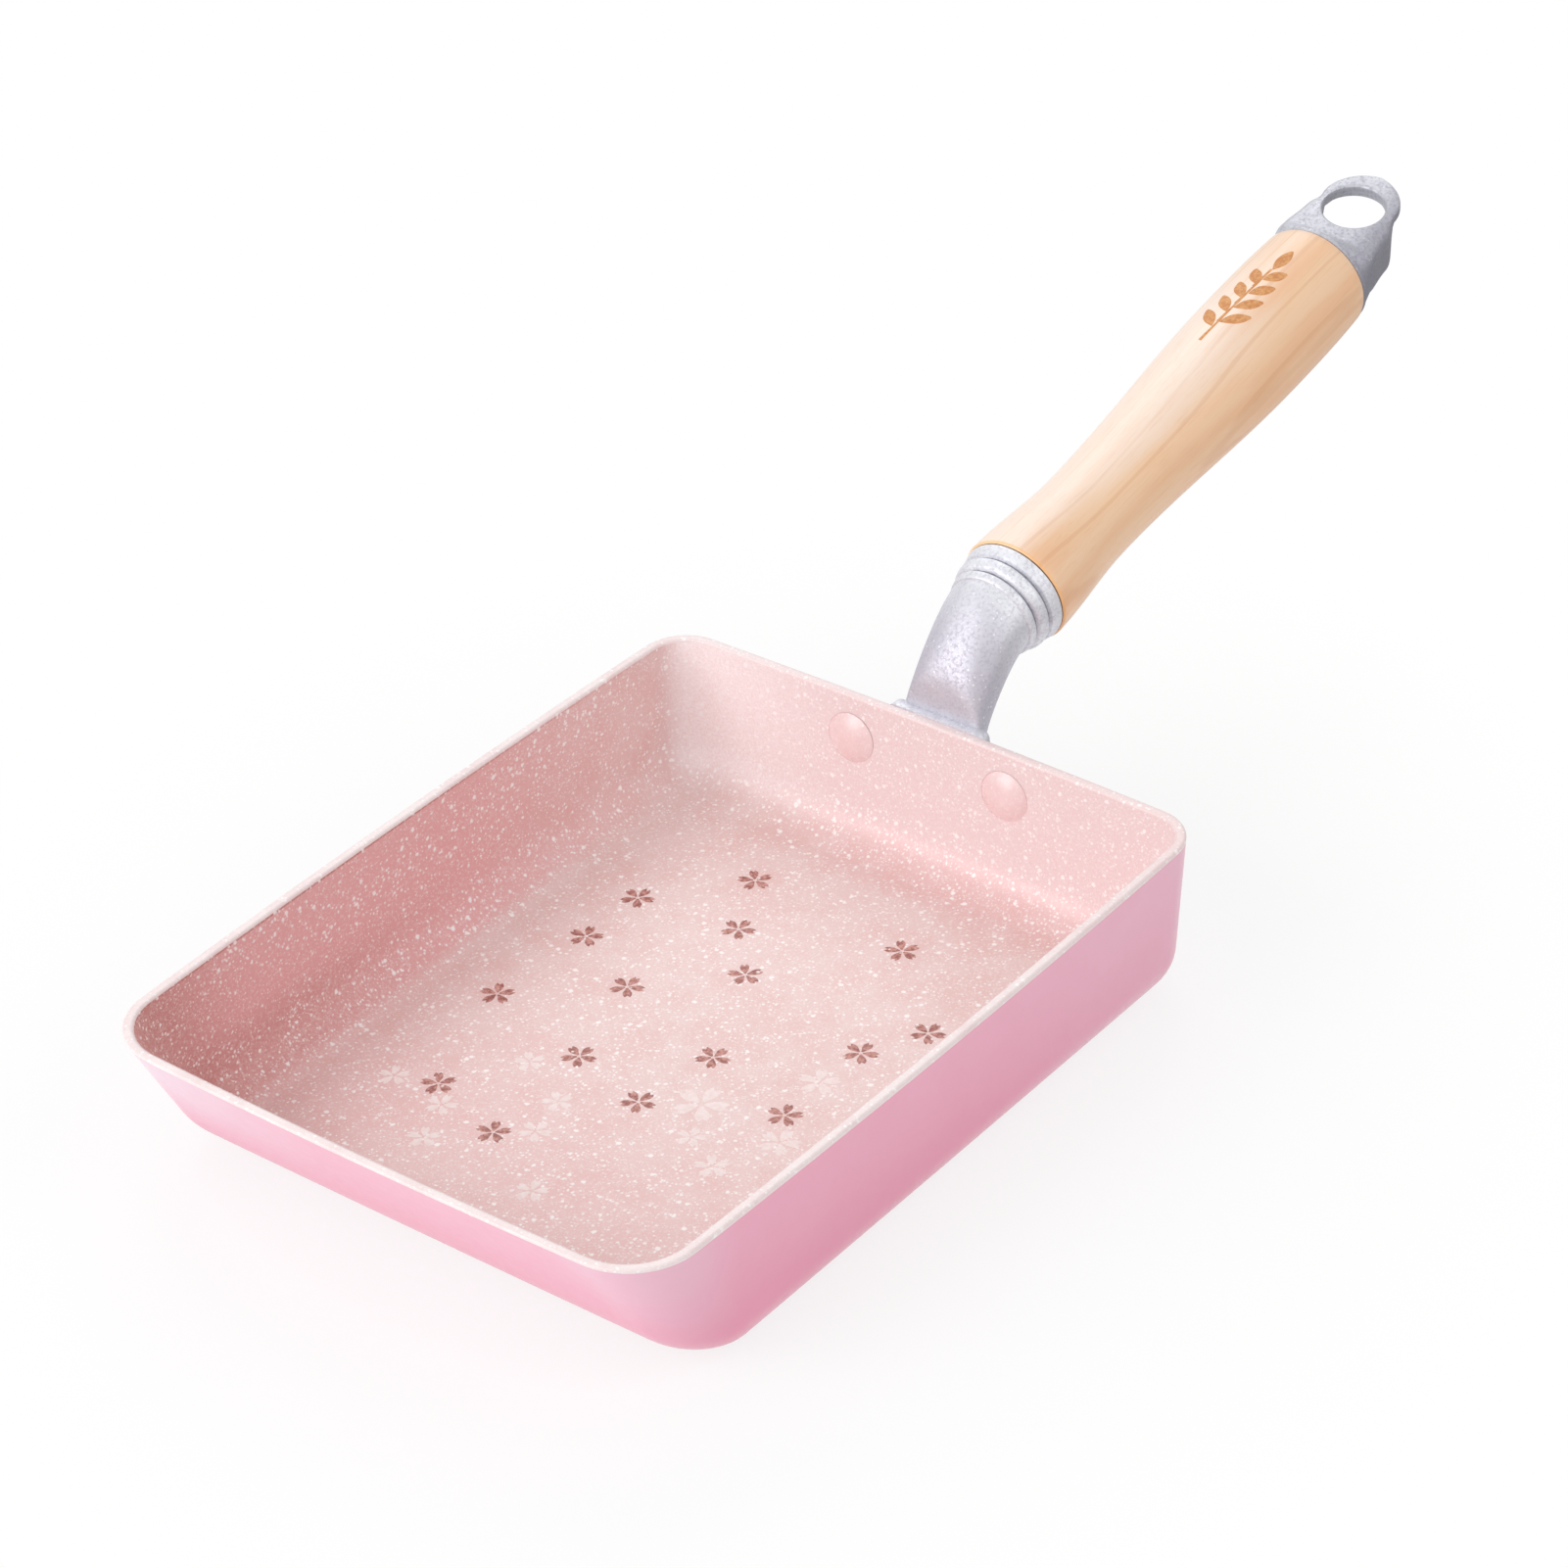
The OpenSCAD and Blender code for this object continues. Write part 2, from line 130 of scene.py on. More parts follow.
class Arithmetic(Enum):
    """How a node joins two values."""

    SUM = "ADD"
    DIFFERENCE = "SUBTRACT"
    PRODUCT = "MULTIPLY"
    LARGER = "MAXIMUM"
    ROOT = "SQRT"


@dataclass(frozen=True)
class Tone:
    """A colour that a finish takes where all of its stretches overlap."""

    colour: Rgb
    strength: float
    where: tuple[Stretch, ...]


def left_tones(shaded: Rgb, deepest_shade: Rgb) -> tuple[Tone, ...]:
    """Lists the painted shade of the front and the left wall.

    Args:
        shaded: Painted shade of the wall, which also darkens the front of the floor.
        deepest_shade: Deepest painted shade, of its front corner and of its foot; also the dark
            line under the rim.

    Returns:
        The tones, in the order in which they go on.
    """
    # Painted shade on the front of the floor and the left wall, deepest at its front corner and
    # foot; the last tone is the dark line under the rim.
    return (
        Tone(shaded, 0.42, ((LENGTHWISE, 10.0, -75.0),)),
        Tone(shaded, 1.25, LEFT_WALL),
        Tone(deepest_shade, 0.8, (*LEFT_WALL, (LENGTHWISE, -45.0, -84.0))),
        Tone(deepest_shade, 0.45, (*LEFT_WALL, (UPWARD, 21.0, 10.0), (LENGTHWISE, 20.0, -50.0))),
        Tone(deepest_shade, 1.0, (*LEFT_WALL, (UPWARD, 34.8, 35.15))),
    )


def rear_tones(pale: Rgb, painted_light: Rgb, foot: Rgb) -> tuple[Tone, ...]:
    """Lists the painted light and shade of the rear wall.

    Args:
        pale: Paler tone of the wall, painted light.
        painted_light: Brightest painted light, towards its left end.
        foot: Painted shade of the bend at its foot.

    Returns:
        The tones, in the order in which they go on.
    """
    # Painted light on the wall, brightest towards its left end, and painted shade in the bend at
    # its foot.
    return (
        Tone(pale, 1.0, REAR_WALL),
        Tone(painted_light, 1.0, (*REAR_WALL, (ACROSS, 16.0, 56.0))),
        Tone(foot, 0.35, REAR_FOOT),
    )


class Nodes:
    """A node tree, with short calls for what the finishes and the studio share."""

    def __init__(self, tree: bpy.types.NodeTree) -> None:
        """Keeps the tree."""
        self.tree = tree

    def add(self, kind: str, **settings: object) -> bpy.types.Node:
        """Adds a node.

        Args:
            kind: Type of the node.
            settings: Properties to set on it.

        Returns:
            The new node.
        """
        node = self.tree.nodes.new(kind)
        for name, value in settings.items():
            setattr(node, name, value)
        return node

    def feed(self, socket: Socket, value: object) -> None:
        """Links an output to a socket, or sets a plain value on it.

        Args:
            socket: The input.
            value: An output socket, a number, a vector or a colour.
        """
        if isinstance(value, Socket):
            self.tree.links.new(value, socket)
        else:
            socket.default_value = value

    def fill(self, node: bpy.types.Node, **values: object) -> bpy.types.Node:
        """Feeds a node's inputs by name.

        Args:
            node: The node.
            values: Value of each input; an underscore stands for a space.

        Returns:
            The node.
        """
        for name, value in values.items():
            self.feed(node.inputs[name.replace("_", " ")], value)
        return node

    def joined(self, how: Arithmetic, *values: object) -> Socket:
        """Joins values one after another.

        Args:
            how: The operation.
            values: The values.

        Returns:
            The output socket, or the value itself if there is only one.
        """
        result = values[0]
        for value in values[1:]:
            node = self.add("ShaderNodeMath", operation=how.value)
            self.feed(node.inputs[0], result)
            self.feed(node.inputs[1], value)
            result = node.outputs[0]
        return result

    def product(self, *values: object) -> Socket:
        """Returns the product of the values."""
        return self.joined(Arithmetic.PRODUCT, *values)

    def total(self, *values: object) -> Socket:
        """Returns the sum of the values."""
        return self.joined(Arithmetic.SUM, *values)

    def largest(self, *values: object) -> Socket:
        """Returns the largest of the values."""
        return self.joined(Arithmetic.LARGER, *values)

    def blend(self, share: Socket, first: bpy.types.Node, second: bpy.types.Node) -> bpy.types.Node:
        """Blends the looks of two shader nodes.

        Args:
            share: How much of the second shows.
            first: The first shader node.
            second: The second one.

        Returns:
            The blending node.
        """
        node = self.add("ShaderNodeMixShader")
        for socket, value in zip(node.inputs, (share, first.outputs[0], second.outputs[0])):
            self.feed(socket, value)
        return node


class Sheet(Nodes):
    """One material's nodes, with the patterns that the finishes share."""

    def __init__(self, name: str) -> None:
        """Starts a material.

        Args:
            name: Name of the material.
        """
        self.material = bpy.data.materials.new(name)
        self.material.use_nodes = True
        super().__init__(self.material.node_tree)
        self.shader = self.tree.nodes["Principled BSDF"]
        self.place = self.add("ShaderNodeTexCoord").outputs["Object"]
        self.shares: dict[Stretch, Socket] = {}

    def dress(self, **values: object) -> Material:
        """Feeds the shader's own inputs.

        Args:
            values: Value of each input; an underscore stands for a space.

        Returns:
            The material.
        """
        self.fill(self.shader, **values)
        return self.material

    def turned(self, tilt_deg: float, squeeze: Point) -> Socket:
        """Turns the place about Y and squeezes it on each axis.

        Args:
            tilt_deg: Angle that brings the pattern's X onto the piece.
            squeeze: Scale of the place on X, Y and Z after the turn.

        Returns:
            The vector output.
        """
        place = self.place
        for setting in ({"Rotation": (0.0, math.radians(tilt_deg), 0.0)}, {"Scale": squeeze}):
            node = self.add("ShaderNodeMapping", vector_type="POINT")
            place = self.fill(node, Vector=place, **setting).outputs["Vector"]
        return place

    def noise(
        self,
        size: float,
        detail: float = 3.0,
        roughness: float = 0.5,
        place: Socket | None = None,
        output: str = "Fac",
    ) -> Socket:
        """Adds soft noise.

        Args:
            size: Size of its features in millimetres.
            detail: Number of finer layers.
            roughness: Strength of the finer layers.
            place: Vector to read, or the object's own place.
            output: Name of the output.

        Returns:
            The output socket.
        """
        node = self.add("ShaderNodeTexNoise")
        self.fill(node, Vector=place or self.place, Scale=1 / (size * MM), Detail=detail)
        return self.fill(node, Roughness=roughness).outputs[output]

    def span(
        self, value: object, low: float, high: float, at_low: float = 0.0, at_high: float = 1.0
    ) -> Socket:
        """Maps a value from one range to another with soft ends.

        Args:
            value: The value.
            low: Start of its range.
            high: End of its range.
            at_low: Result at the start.
            at_high: Result at the end.

        Returns:
            The output socket.
        """
        node = self.add("ShaderNodeMapRange", interpolation_type="SMOOTHSTEP")
        self.fill(node, Value=value, From_Min=low, From_Max=high, To_Min=at_low, To_Max=at_high)
        return node.outputs["Result"]

    def mix(self, share: object, low: Socket | Rgb, high: Socket | Rgb) -> Socket:
        """Mixes two colours.

        Args:
            share: How much of the second colour shows.
            low: First colour.
            high: Second colour.

        Returns:
            The colour output.
        """
        node = self.add("ShaderNodeMix", data_type="RGBA")
        for index, value in ((0, share), (6, low), (7, high)):
            self.feed(node.inputs[index], linear(value) if isinstance(value, tuple) else value)
        return node.outputs[2]

    def bump(
        self, height: Socket, depth: float, strength: float, under: Socket | None = None
    ) -> Socket:
        """Adds relief.

        Args:
            height: Height from 0 to 1.
            depth: Depth in millimetres that a height of 1 stands for.
            strength: How strongly the relief shows.
            under: A normal to add this relief to.

        Returns:
            The normal output.
        """
        node = self.add("ShaderNodeBump")
        self.fill(node, Strength=strength, Distance=depth * MM, Height=height)
        if under is not None:
            self.fill(node, Normal=under)
        return node.outputs["Normal"]

    def share_along(self, direction: Point, low: float, high: float) -> Socket:
        """Compares the place along a direction with two limits.

        Args:
            direction: The direction, such as LENGTHWISE.
            low: Limit in millimetres at which the share is 0.
            high: Limit in millimetres at which the share is 1.

        Returns:
            The share, made once for each set of limits.
        """
        stretch = (direction, low, high)
        if stretch not in self.shares:
            dot = self.add("ShaderNodeVectorMath", operation="DOT_PRODUCT")
            self.feed(dot.inputs[0], self.place)
            self.feed(dot.inputs[1], direction)
            self.shares[stretch] = self.span(dot.outputs["Value"], low * MM, high * MM)
        return self.shares[stretch]

    def toned(self, body: Socket, *tones: Tone) -> Socket:
        """Puts tones on a colour, one over another.

        Args:
            body: The colour.
            tones: The tones.

        Returns:
            The colour output.
        """
        for tone in tones:
            shares = [self.share_along(*stretch) for stretch in tone.where]
            body = self.mix(self.product(*shares, tone.strength), body, tone.colour)
        return body

    def flecks(self, cell: float, radius: float, share: float) -> Socket:
        """Scatters small blots of uneven size and outline.

        Args:
            cell: Mean distance between places where a blot may lie.
            radius: Radius of the larger blots.
            share: Share of these places that have a blot.

        Returns:
            A mask that is 1 inside a blot.
        """
        away = self.add("ShaderNodeVectorMath", operation="MULTIPLY_ADD")
        stir = (self.noise(0.9, 2.0, output="Color"), (radius * 1.6 * MM,) * 3, self.place)
        for socket, value in zip(away.inputs, stir):
            self.feed(socket, value)
        spots = self.add("ShaderNodeTexVoronoi")
        self.fill(spots, Vector=away.outputs[0], Scale=1 / (cell * MM))
        parts = self.add("ShaderNodeSeparateColor")
        self.feed(parts.inputs[0], spots.outputs["Color"])
        size = self.span(parts.outputs[1], 0.0, 1.0, 1.9, 0.9)
        edge = radius / cell
        blot = self.span(self.product(spots.outputs["Distance"], size), edge * 1.15, edge * 0.55)
        chosen = self.span(parts.outputs[0], 1 - share, 1 - share + 0.02)
        return self.product(blot, chosen)


@dataclass(frozen=True)
class SpeckledCoat:
    """Non-stick coat with pale flecks, as inside the pan and on its rim and rivets."""

    name: str
    ground: Rgb
    deep: Rgb
    tones: tuple[Tone, ...] = ()
    fleck_share: float = 0.7
    roughness: Pair = (0.31, 0.43)
    fleck: Rgb = (255, 250, 249)

    def make(self) -> Material:
        """Makes the finish.

        Returns:
            The material.
        """
        sheet = Sheet(self.name)
        cloud = sheet.span(sheet.noise(9.0, 4.0, 0.6), 0.38, 0.66)
        # The tones put painted light and shade over the coat's own colour.
        ground = sheet.toned(sheet.mix(cloud, self.ground, self.deep), *self.tones)
        grain = sheet.span(sheet.noise(0.5, 2.0), 0.3, 0.7)
        speck = sheet.mix(sheet.product(grain, 0.3), ground, self.deep)
        dust = sheet.span(sheet.noise(0.7, 2.0, 0.6), 0.5, 0.72)
        speck = sheet.mix(sheet.product(dust, 0.3), speck, self.fleck)
        large = sheet.flecks(1.9, 0.57, 0.9 * self.fleck_share)
        medium = sheet.product(sheet.flecks(1.0, 0.36, self.fleck_share), 0.85)
        small = sheet.product(sheet.flecks(0.6, 0.22, self.fleck_share), 0.5)
        fleck = sheet.largest(large, medium, small)
        relief = sheet.bump(sheet.noise(0.45, 3.0, 0.6), 0.03, 0.6)
        return sheet.dress(
            Base_Color=sheet.mix(sheet.product(fleck, 0.92), speck, self.fleck),
            Roughness=sheet.span(sheet.noise(3.0), 0.2, 0.8, *self.roughness),
            Normal=sheet.bump(fleck, 0.03, 0.7, relief),
            Coat_Weight=0.15,
            Coat_Roughness=0.3,
        )


@dataclass(frozen=True)
class SatinPaint:
    """Smooth satin enamel with a faint pearl, as outside the pan; paler at the front-left as a
    painted sheen and at the front-right corner as painted light.
    """

    name: str
    colour: Rgb
    low_colour: Rgb
    pale_colour: Rgb
    height: float
    roughness: Pair = (0.34, 0.43)

    def make(self) -> Material:
        """Makes the finish.

        Returns:
            The material.
        """
        sheet = Sheet(self.name)
        climb = sheet.share_along(UPWARD, 0.0, self.height)
        body = sheet.mix(climb, self.low_colour, self.colour)
        # Painted sheen: paler towards the front-left end; the paint is also paler towards the rear.
        front = sheet.share_along(LENGTHWISE, -74.0, -88.0)
        painted_sheen = sheet.product(front, sheet.share_along(ACROSS, 5.0, 66.0))
        rearward = sheet.product(sheet.share_along(LENGTHWISE, 0.0, 95.0), 0.3)
        body = sheet.mix(sheet.largest(painted_sheen, rearward), body, self.pale_colour)
        # Painted light: paler at the front-right corner.
        corner = Tone(self.pale_colour, 0.4, ((FRONT_RIGHT, 128.0, 146.0),))
        cloud = sheet.span(sheet.noise(14.0), 0.3, 0.7)
        body = sheet.mix(sheet.product(cloud, 0.12), sheet.toned(body, corner), self.low_colour)
        return sheet.dress(
            Base_Color=body,
            Roughness=sheet.span(sheet.noise(2.0), 0.2, 0.8, *self.roughness),
            Normal=sheet.bump(sheet.noise(1.6, 2.0), 0.02, 0.25),
            Coat_Weight=0.4,
            Coat_Roughness=0.25,
        )


@dataclass(frozen=True)
class SandCasting:
    """Silver-painted casting with the grain of its sand mould; its small bright flecks are painted
    glints, and its tones are painted shade.
    """

    name: str
    light: Rgb = (233, 234, 239)
    dark: Rgb = (190, 188, 198)
    # Colour of the painted glints.
    painted_sheen: Rgb = (246, 246, 248)
    roughness: Pair = (0.52, 0.70)
    tones: tuple[Tone, ...] = ()

    def make(self) -> Material:
        """Makes the finish.

        Returns:
            The material.
        """
        sheet = Sheet(self.name)
        cloud = sheet.span(sheet.noise(5.0, 5.0, 0.65), 0.36, 0.68)
        grit = sheet.span(sheet.noise(0.7, 3.0, 0.6), 0.4, 0.72)
        share = sheet.total(sheet.product(cloud, 0.26), sheet.product(grit, 0.42))
        body = sheet.toned(sheet.mix(share, self.light, self.dark), *self.tones)
        # Painted glints: small bright flecks in the paler colour.
        glint = sheet.product(sheet.flecks(0.9, 0.22, 0.5), 0.6)
        coarse = sheet.bump(sheet.noise(1.3, 3.0, 0.6), 0.16, 0.5)
        return sheet.dress(
            Base_Color=sheet.mix(glint, body, self.painted_sheen),
            Metallic=0.7,
            Roughness=sheet.span(grit, 0.0, 1.0, *self.roughness),
            Normal=sheet.bump(sheet.noise(0.4, 2.0), 0.05, 0.6, coarse),
        )


@dataclass(frozen=True)
class OiledWood:
    """Pale close-grained wood whose grain runs along the handle, with a painted highlight along its
    +Y side.
    """

    name: str
    tilt_deg: float
    light: Rgb = (247, 207, 169)
    dark: Rgb = (243, 192, 149)
    line: Rgb = (220, 158, 108)
    painted_highlight: Rgb = (252, 233, 218)
    roughness: Pair = (0.42, 0.54)

    def make(self) -> Material:
        """Makes the finish.

        Returns:
            The material.
        """
        sheet = Sheet(self.name)
        broad = sheet.turned(self.tilt_deg, (0.10, 1.0, 1.0))
        figure = sheet.span(sheet.noise(6.0, place=broad), 0.32, 0.7)
        figured = sheet.mix(figure, self.light, self.dark)
        # Painted highlight: paler towards the +Y side, with a wavering edge, fading towards the far
        # end.
        wander = sheet.span(sheet.noise(9.0, place=broad), 0.3, 0.7, -0.25, 0.25)
        far_end = sheet.product(sheet.share_along(LENGTHWISE, 190.0, 225.0), -0.35)
        side = sheet.total(sheet.share_along(ACROSS, -12.0, 2.0), wander, far_end)
        pale = sheet.product(sheet.span(side, 0.1, 0.95), 0.9)
        body = sheet.mix(pale, figured, self.painted_highlight)
        rings = sheet.add("ShaderNodeTexWave", wave_type="BANDS", bands_direction="Y")
        sheet.fill(rings, Vector=sheet.turned(self.tilt_deg, (0.035, 1.0, 1.0)), Scale=62.0)
        sheet.fill(rings, Distortion=5.0, Detail=2.0, Detail_Scale=1.2)
        bands = sheet.span(rings.outputs["Fac"], 0.93, 1.0)
        bands = sheet.product(bands, sheet.span(pale, 0.3, 1.0, 0.3, 0.06))
        ringed = sheet.mix(bands, body, self.line)
        fibres = sheet.turned(self.tilt_deg, (0.02, 1.0, 1.0))
        pores = sheet.span(sheet.noise(0.35, 3.0, 0.6, fibres), 0.5, 0.72)
        return sheet.dress(
            Base_Color=sheet.mix(sheet.product(pores, 0.16), ringed, self.line),
            Roughness=sheet.span(pores, 0.0, 1.0, *self.roughness),
            Normal=sheet.bump(pores, 0.03, 0.35),
            Coat_Weight=0.4,
            Coat_Roughness=0.35,
            Sheen_Weight=0.22,
            Sheen_Roughness=0.35,
        )


@dataclass(frozen=True)
class BareMetal:
    """Ground or turned bare metal with fine tool marks."""

    name: str
    colour: Rgb
    dark: Rgb
    roughness: Pair = (0.29, 0.45)

    def make(self) -> Material:
        """Makes the finish.

        Returns:
            The material.
        """
        sheet = Sheet(self.name)
        lines = sheet.noise(0.5, 3.0, 0.6, sheet.turned(0.0, (0.04, 1.0, 1.0)))
        cloud = sheet.span(sheet.noise(8.0), 0.3, 0.7, 0.0, 0.35)
        body = sheet.mix(cloud, self.colour, self.dark)
        return sheet.dress(
            Base_Color=sheet.mix(sheet.product(lines, 0.3), body, self.dark),
            Metallic=0.9,
            Roughness=sheet.span(lines, 0.2, 0.8, *self.roughness),
            Normal=sheet.bump(lines, 0.02, 0.4),
        )


@dataclass(frozen=True)
class PrintedFilm:
    """Thin printed or burned mark with an uneven edge of colour."""

    name: str
    colour: Rgb
    faded: Rgb
    fleck: Rgb | None = (255, 250, 249)
    fleck_radius: float = 0.24
    blotch: float = 0.9
    roughness: Pair = (0.45, 0.55)

    def make(self) -> Material:
        """Makes the finish.

        Returns:
            The material.
        """
        sheet = Sheet(self.name)
        patch = sheet.span(sheet.noise(self.blotch, 3.0, 0.6), 0.36, 0.66)
        colour = sheet.mix(patch, self.colour, self.faded)
        if self.fleck is not None:
            fleck = sheet.product(sheet.flecks(1.7, self.fleck_radius, 0.5), 0.8)
            colour = sheet.mix(fleck, colour, self.fleck)
        return sheet.dress(
            Base_Color=colour,
            Roughness=sheet.span(patch, 0.0, 1.0, *self.roughness),
            Normal=sheet.bump(sheet.noise(0.4, 2.0), 0.02, 0.5),
        )


# ---------------------------------------------------------------- mesh tools


class Joining(Enum):
    """How closed solids are joined or cut."""

    EXACT = "EXACT"
    QUICK = "FAST"


class Cut(Enum):
    """What a closed solid does to the mesh that it meets."""

    ADD = "UNION"
    REMOVE = "DIFFERENCE"


def skin_through(
    bm: Mesh,
    rings: Sequence[Sequence[Point]],
    slots: Sequence[int] | None = None,
    ends: tuple[int, int] = (0, 0),
) -> None:
    """Extrudes a closed loop through rings of equal counts and closes both ends.

    Args:
        bm: Mesh to add to.
        rings: Rings of points, one after another.
        slots: Material slot of each strip between two rings.
        ends: Material slots of the first and last faces.
    """
    loop = [bm.verts.new(point) for point in rings[0]]
    edges = [bm.edges.new(pair) for pair in zip(loop, loop[1:] + loop[:1])]
    bm.faces.new(loop).material_index = ends[0]
    for index, ring in enumerate(rings[1:]):
        made = bmesh.ops.extrude_edge_only(bm, edges=edges)["geom"]
        fresh = {part for part in made if isinstance(part, bmesh.types.BMVert)}
        above = {
            edge.other_vert(vert): vert
            for vert in fresh
            for edge in vert.link_edges
            if edge.other_vert(vert) not in fresh
        }
        loop = [above[vert] for vert in loop]
        for vert, point in zip(loop, ring):
            vert.co = point
        edges = []
        for part in made:
            if isinstance(part, bmesh.types.BMFace):
                part.material_index = slots[index] if slots else 0
            elif isinstance(part, bmesh.types.BMEdge) and fresh.issuperset(part.verts):
                edges.append(part)
    bm.faces.new(loop).material_index = ends[1]


def turned(profile: Sequence[Pair], steps: int, closed: bool = False) -> Mesh:
    """Spins a profile of radius and height about Z and closes its poles.

    Args:
        profile: Points of radius and height, in order.
        steps: Number of steps round.
        closed: Whether the profile ends where it starts, as round a bore.

    Returns:
        The mesh.
    """
    bm = bmesh.new()
    verts = [bm.verts.new((radius, 0.0, height)) for radius, height in profile]
    pairs = list(zip(verts, verts[1:])) + ([(verts[-1], verts[0])] if closed else [])
    edges = [bm.edges.new(pair) for pair in pairs]
    bmesh.ops.spin(
        bm,
        geom=verts + edges,
        cent=(0, 0, 0),
        axis=(0, 0, 1),
        angle=math.tau,
        steps=steps,
        use_merge=True,
        use_duplicate=False,
    )
    bmesh.ops.remove_doubles(bm, verts=bm.verts, dist=MERGE_MM)
    return bm


def moved(bm: Mesh, matrix: Matrix) -> Mesh:
    """Moves a mesh by a matrix and returns it."""
    bmesh.ops.transform(bm, matrix=matrix, verts=bm.verts)
    return bm


def face_outward(bm: Mesh) -> None:
    """Turns every face of a closed mesh outwards.

    Args:
        bm: The mesh.
    """
    bmesh.ops.recalc_face_normals(bm, faces=bm.faces)
    if bm.calc_volume(signed=True) < 0:
        bmesh.ops.reverse_faces(bm, faces=bm.faces)


def thickened(bm: Mesh, thickness: float) -> Mesh:
    """Gives flat shapes a thickness.

    Args:
        bm: Mesh of the flat shapes.
        thickness: The thickness.

    Returns:
        The same mesh.
    """
    bmesh.ops.recalc_face_normals(bm, faces=bm.faces)
    bmesh.ops.solidify(bm, geom=bm.faces[:], thickness=thickness)
    return bm


def rounded_outline(
    corners: Sequence[Pair], radii: Sequence[float], steps: int = 8
) -> list[Pair]:
    """Rounds the corners of a flat outline.

    Args:
        corners: Corner points in order.
        radii: Radius at each corner.
        steps: Steps along each arc.

    Returns:
        Points of the rounded outline.
    """
    points: list[Pair] = []
    for index, radius in enumerate(radii):
        here = Vector(corners[index])
        before = (Vector(corners[index - 1]) - here).normalized()
        after = (Vector(corners[(index + 1) % len(corners)]) - here).normalized()
        half = before.angle(after) / 2
        reach = radius / math.tan(half)
        centre = here + (before + after).normalized() * (radius / math.sin(half))
        start = here + before * reach - centre
        end = here + after * reach - centre
        sweep = start.angle(end)
        for step in range(steps + 1):
            share = step / steps
            first, last = math.sin((1 - share) * sweep), math.sin(share * sweep)
            points.append(tuple(centre + (start * first + end * last) / math.sin(sweep)))
    return points


def plate_from(outline: Sequence[Pair], thickness: float, edge: float) -> Mesh:
    """Makes a flat plate with rounded upper edges from its outline.

    Args:
        outline: Points of the outline.
        thickness: Thickness of the plate.
        edge: Radius of the upper edge.

    Returns:
        The mesh.
    """
    bm = bmesh.new()
    face = bm.faces.new([bm.verts.new((x, y, 0.0)) for x, y in outline])
    made = bmesh.ops.extrude_face_region(bm, geom=[face])["geom"]
    raised = [part for part in made if isinstance(part, bmesh.types.BMVert)]
    bmesh.ops.translate(bm, vec=(0, 0, thickness), verts=raised)
    bmesh.ops.bevel(
        bm,
        geom=[e for e in bm.edges if set(raised).issuperset(e.verts)],
        offset=edge,
        offset_type="OFFSET",
        affect="EDGES",
        segments=5,
        profile=0.5,
        material=-1,
    )
    return bm


def finished(
    name: str, bm: Mesh, materials: Sequence[Material], smooth_deg: float = 40.0
) -> Piece:
    """Turns a mesh in millimetres into a shaded object in metres at the origin.

    Args:
        name: Name of the piece.
        bm: The mesh, which is freed.
        materials: Materials for its slots.
        smooth_deg: Edges sharper than this stay crisp.

    Returns:
        The object, riding on the root body.
    """
    face_outward(bm)
    bmesh.ops.scale(bm, vec=(MM, MM, MM), verts=bm.verts)
    mesh = bpy.data.meshes.new(name)
    bm.to_mesh(mesh)
    bm.free()
    mesh.shade_smooth()
    mesh.set_sharp_from_angle(angle=math.radians(smooth_deg))
    for material in materials:
        mesh.materials.append(material)
    piece = bpy.data.objects.new(name, mesh)
    bpy.context.scene.collection.objects.link(piece)
    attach(piece, "root")
    return piece


def scratch_piece(bm: Mesh) -> Piece:
    """Makes a scratch object for a join or a cut.

    Args:
        bm: The closed solid, which is freed.

    Returns:
        The object.
    """
    face_outward(bm)
    mesh = bpy.data.meshes.new("scratch")
    bm.to_mesh(mesh)
    bm.free()
    piece = bpy.data.objects.new("scratch", mesh)
    bpy.context.scene.collection.objects.link(piece)
    return piece


def combined(
    base: Mesh, tools: Sequence[tuple[Cut, Mesh]], joining: Joining = Joining.EXACT
) -> Mesh:
    """Adds closed solids to a mesh or cuts them from it.

    Args:
        base: The mesh to work on, which is freed.
        tools: What each closed solid does, and the solid, which is freed.
        joining: How they are joined; QUICK suits solids whose sections fold at an end.

    Returns:
        The resulting mesh.
    """
    body = scratch_piece(base)
    scratch = [body]
    for action, tool in tools:
        scratch.append(scratch_piece(tool))
        cut = body.modifiers.new("cut", "BOOLEAN")
        cut.operation = action.value
        cut.solver = joining.value
        cut.object = scratch[-1]
    bpy.context.view_layer.update()
    shaped = body.evaluated_get(bpy.context.evaluated_depsgraph_get()).to_mesh()
    result = bmesh.new()
    result.from_mesh(shaped)
    for piece in scratch:
        mesh = piece.data
        bpy.data.objects.remove(piece)
        bpy.data.meshes.remove(mesh)
    bmesh.ops.remove_doubles(result, verts=result.verts, dist=MERGE_MM)
    return result


def soften(piece: Piece, width: float, angle_deg: float = 35.0, segments: int = 3) -> None:
    """Rounds a piece's sharp edges with a modifier.

    Args:
        piece: The object.
        width: Width of the rounding in millimetres.
        angle_deg: Edges sharper than this are rounded.
        segments: Steps across the rounding.
    """
    bevel = piece.modifiers.new("edges", "BEVEL")
    bevel.width = width * MM
    bevel.segments = segments
    bevel.limit_method = "ANGLE"
    bevel.angle_limit = math.radians(angle_deg)
    bevel.harden_normals = True


def report(piece: Piece) -> None:
    """Logs a piece's name and size."""
    log.info("%s: %d faces", piece.name, len(piece.data.polygons))


# ---------------------------------------------------------------- pan


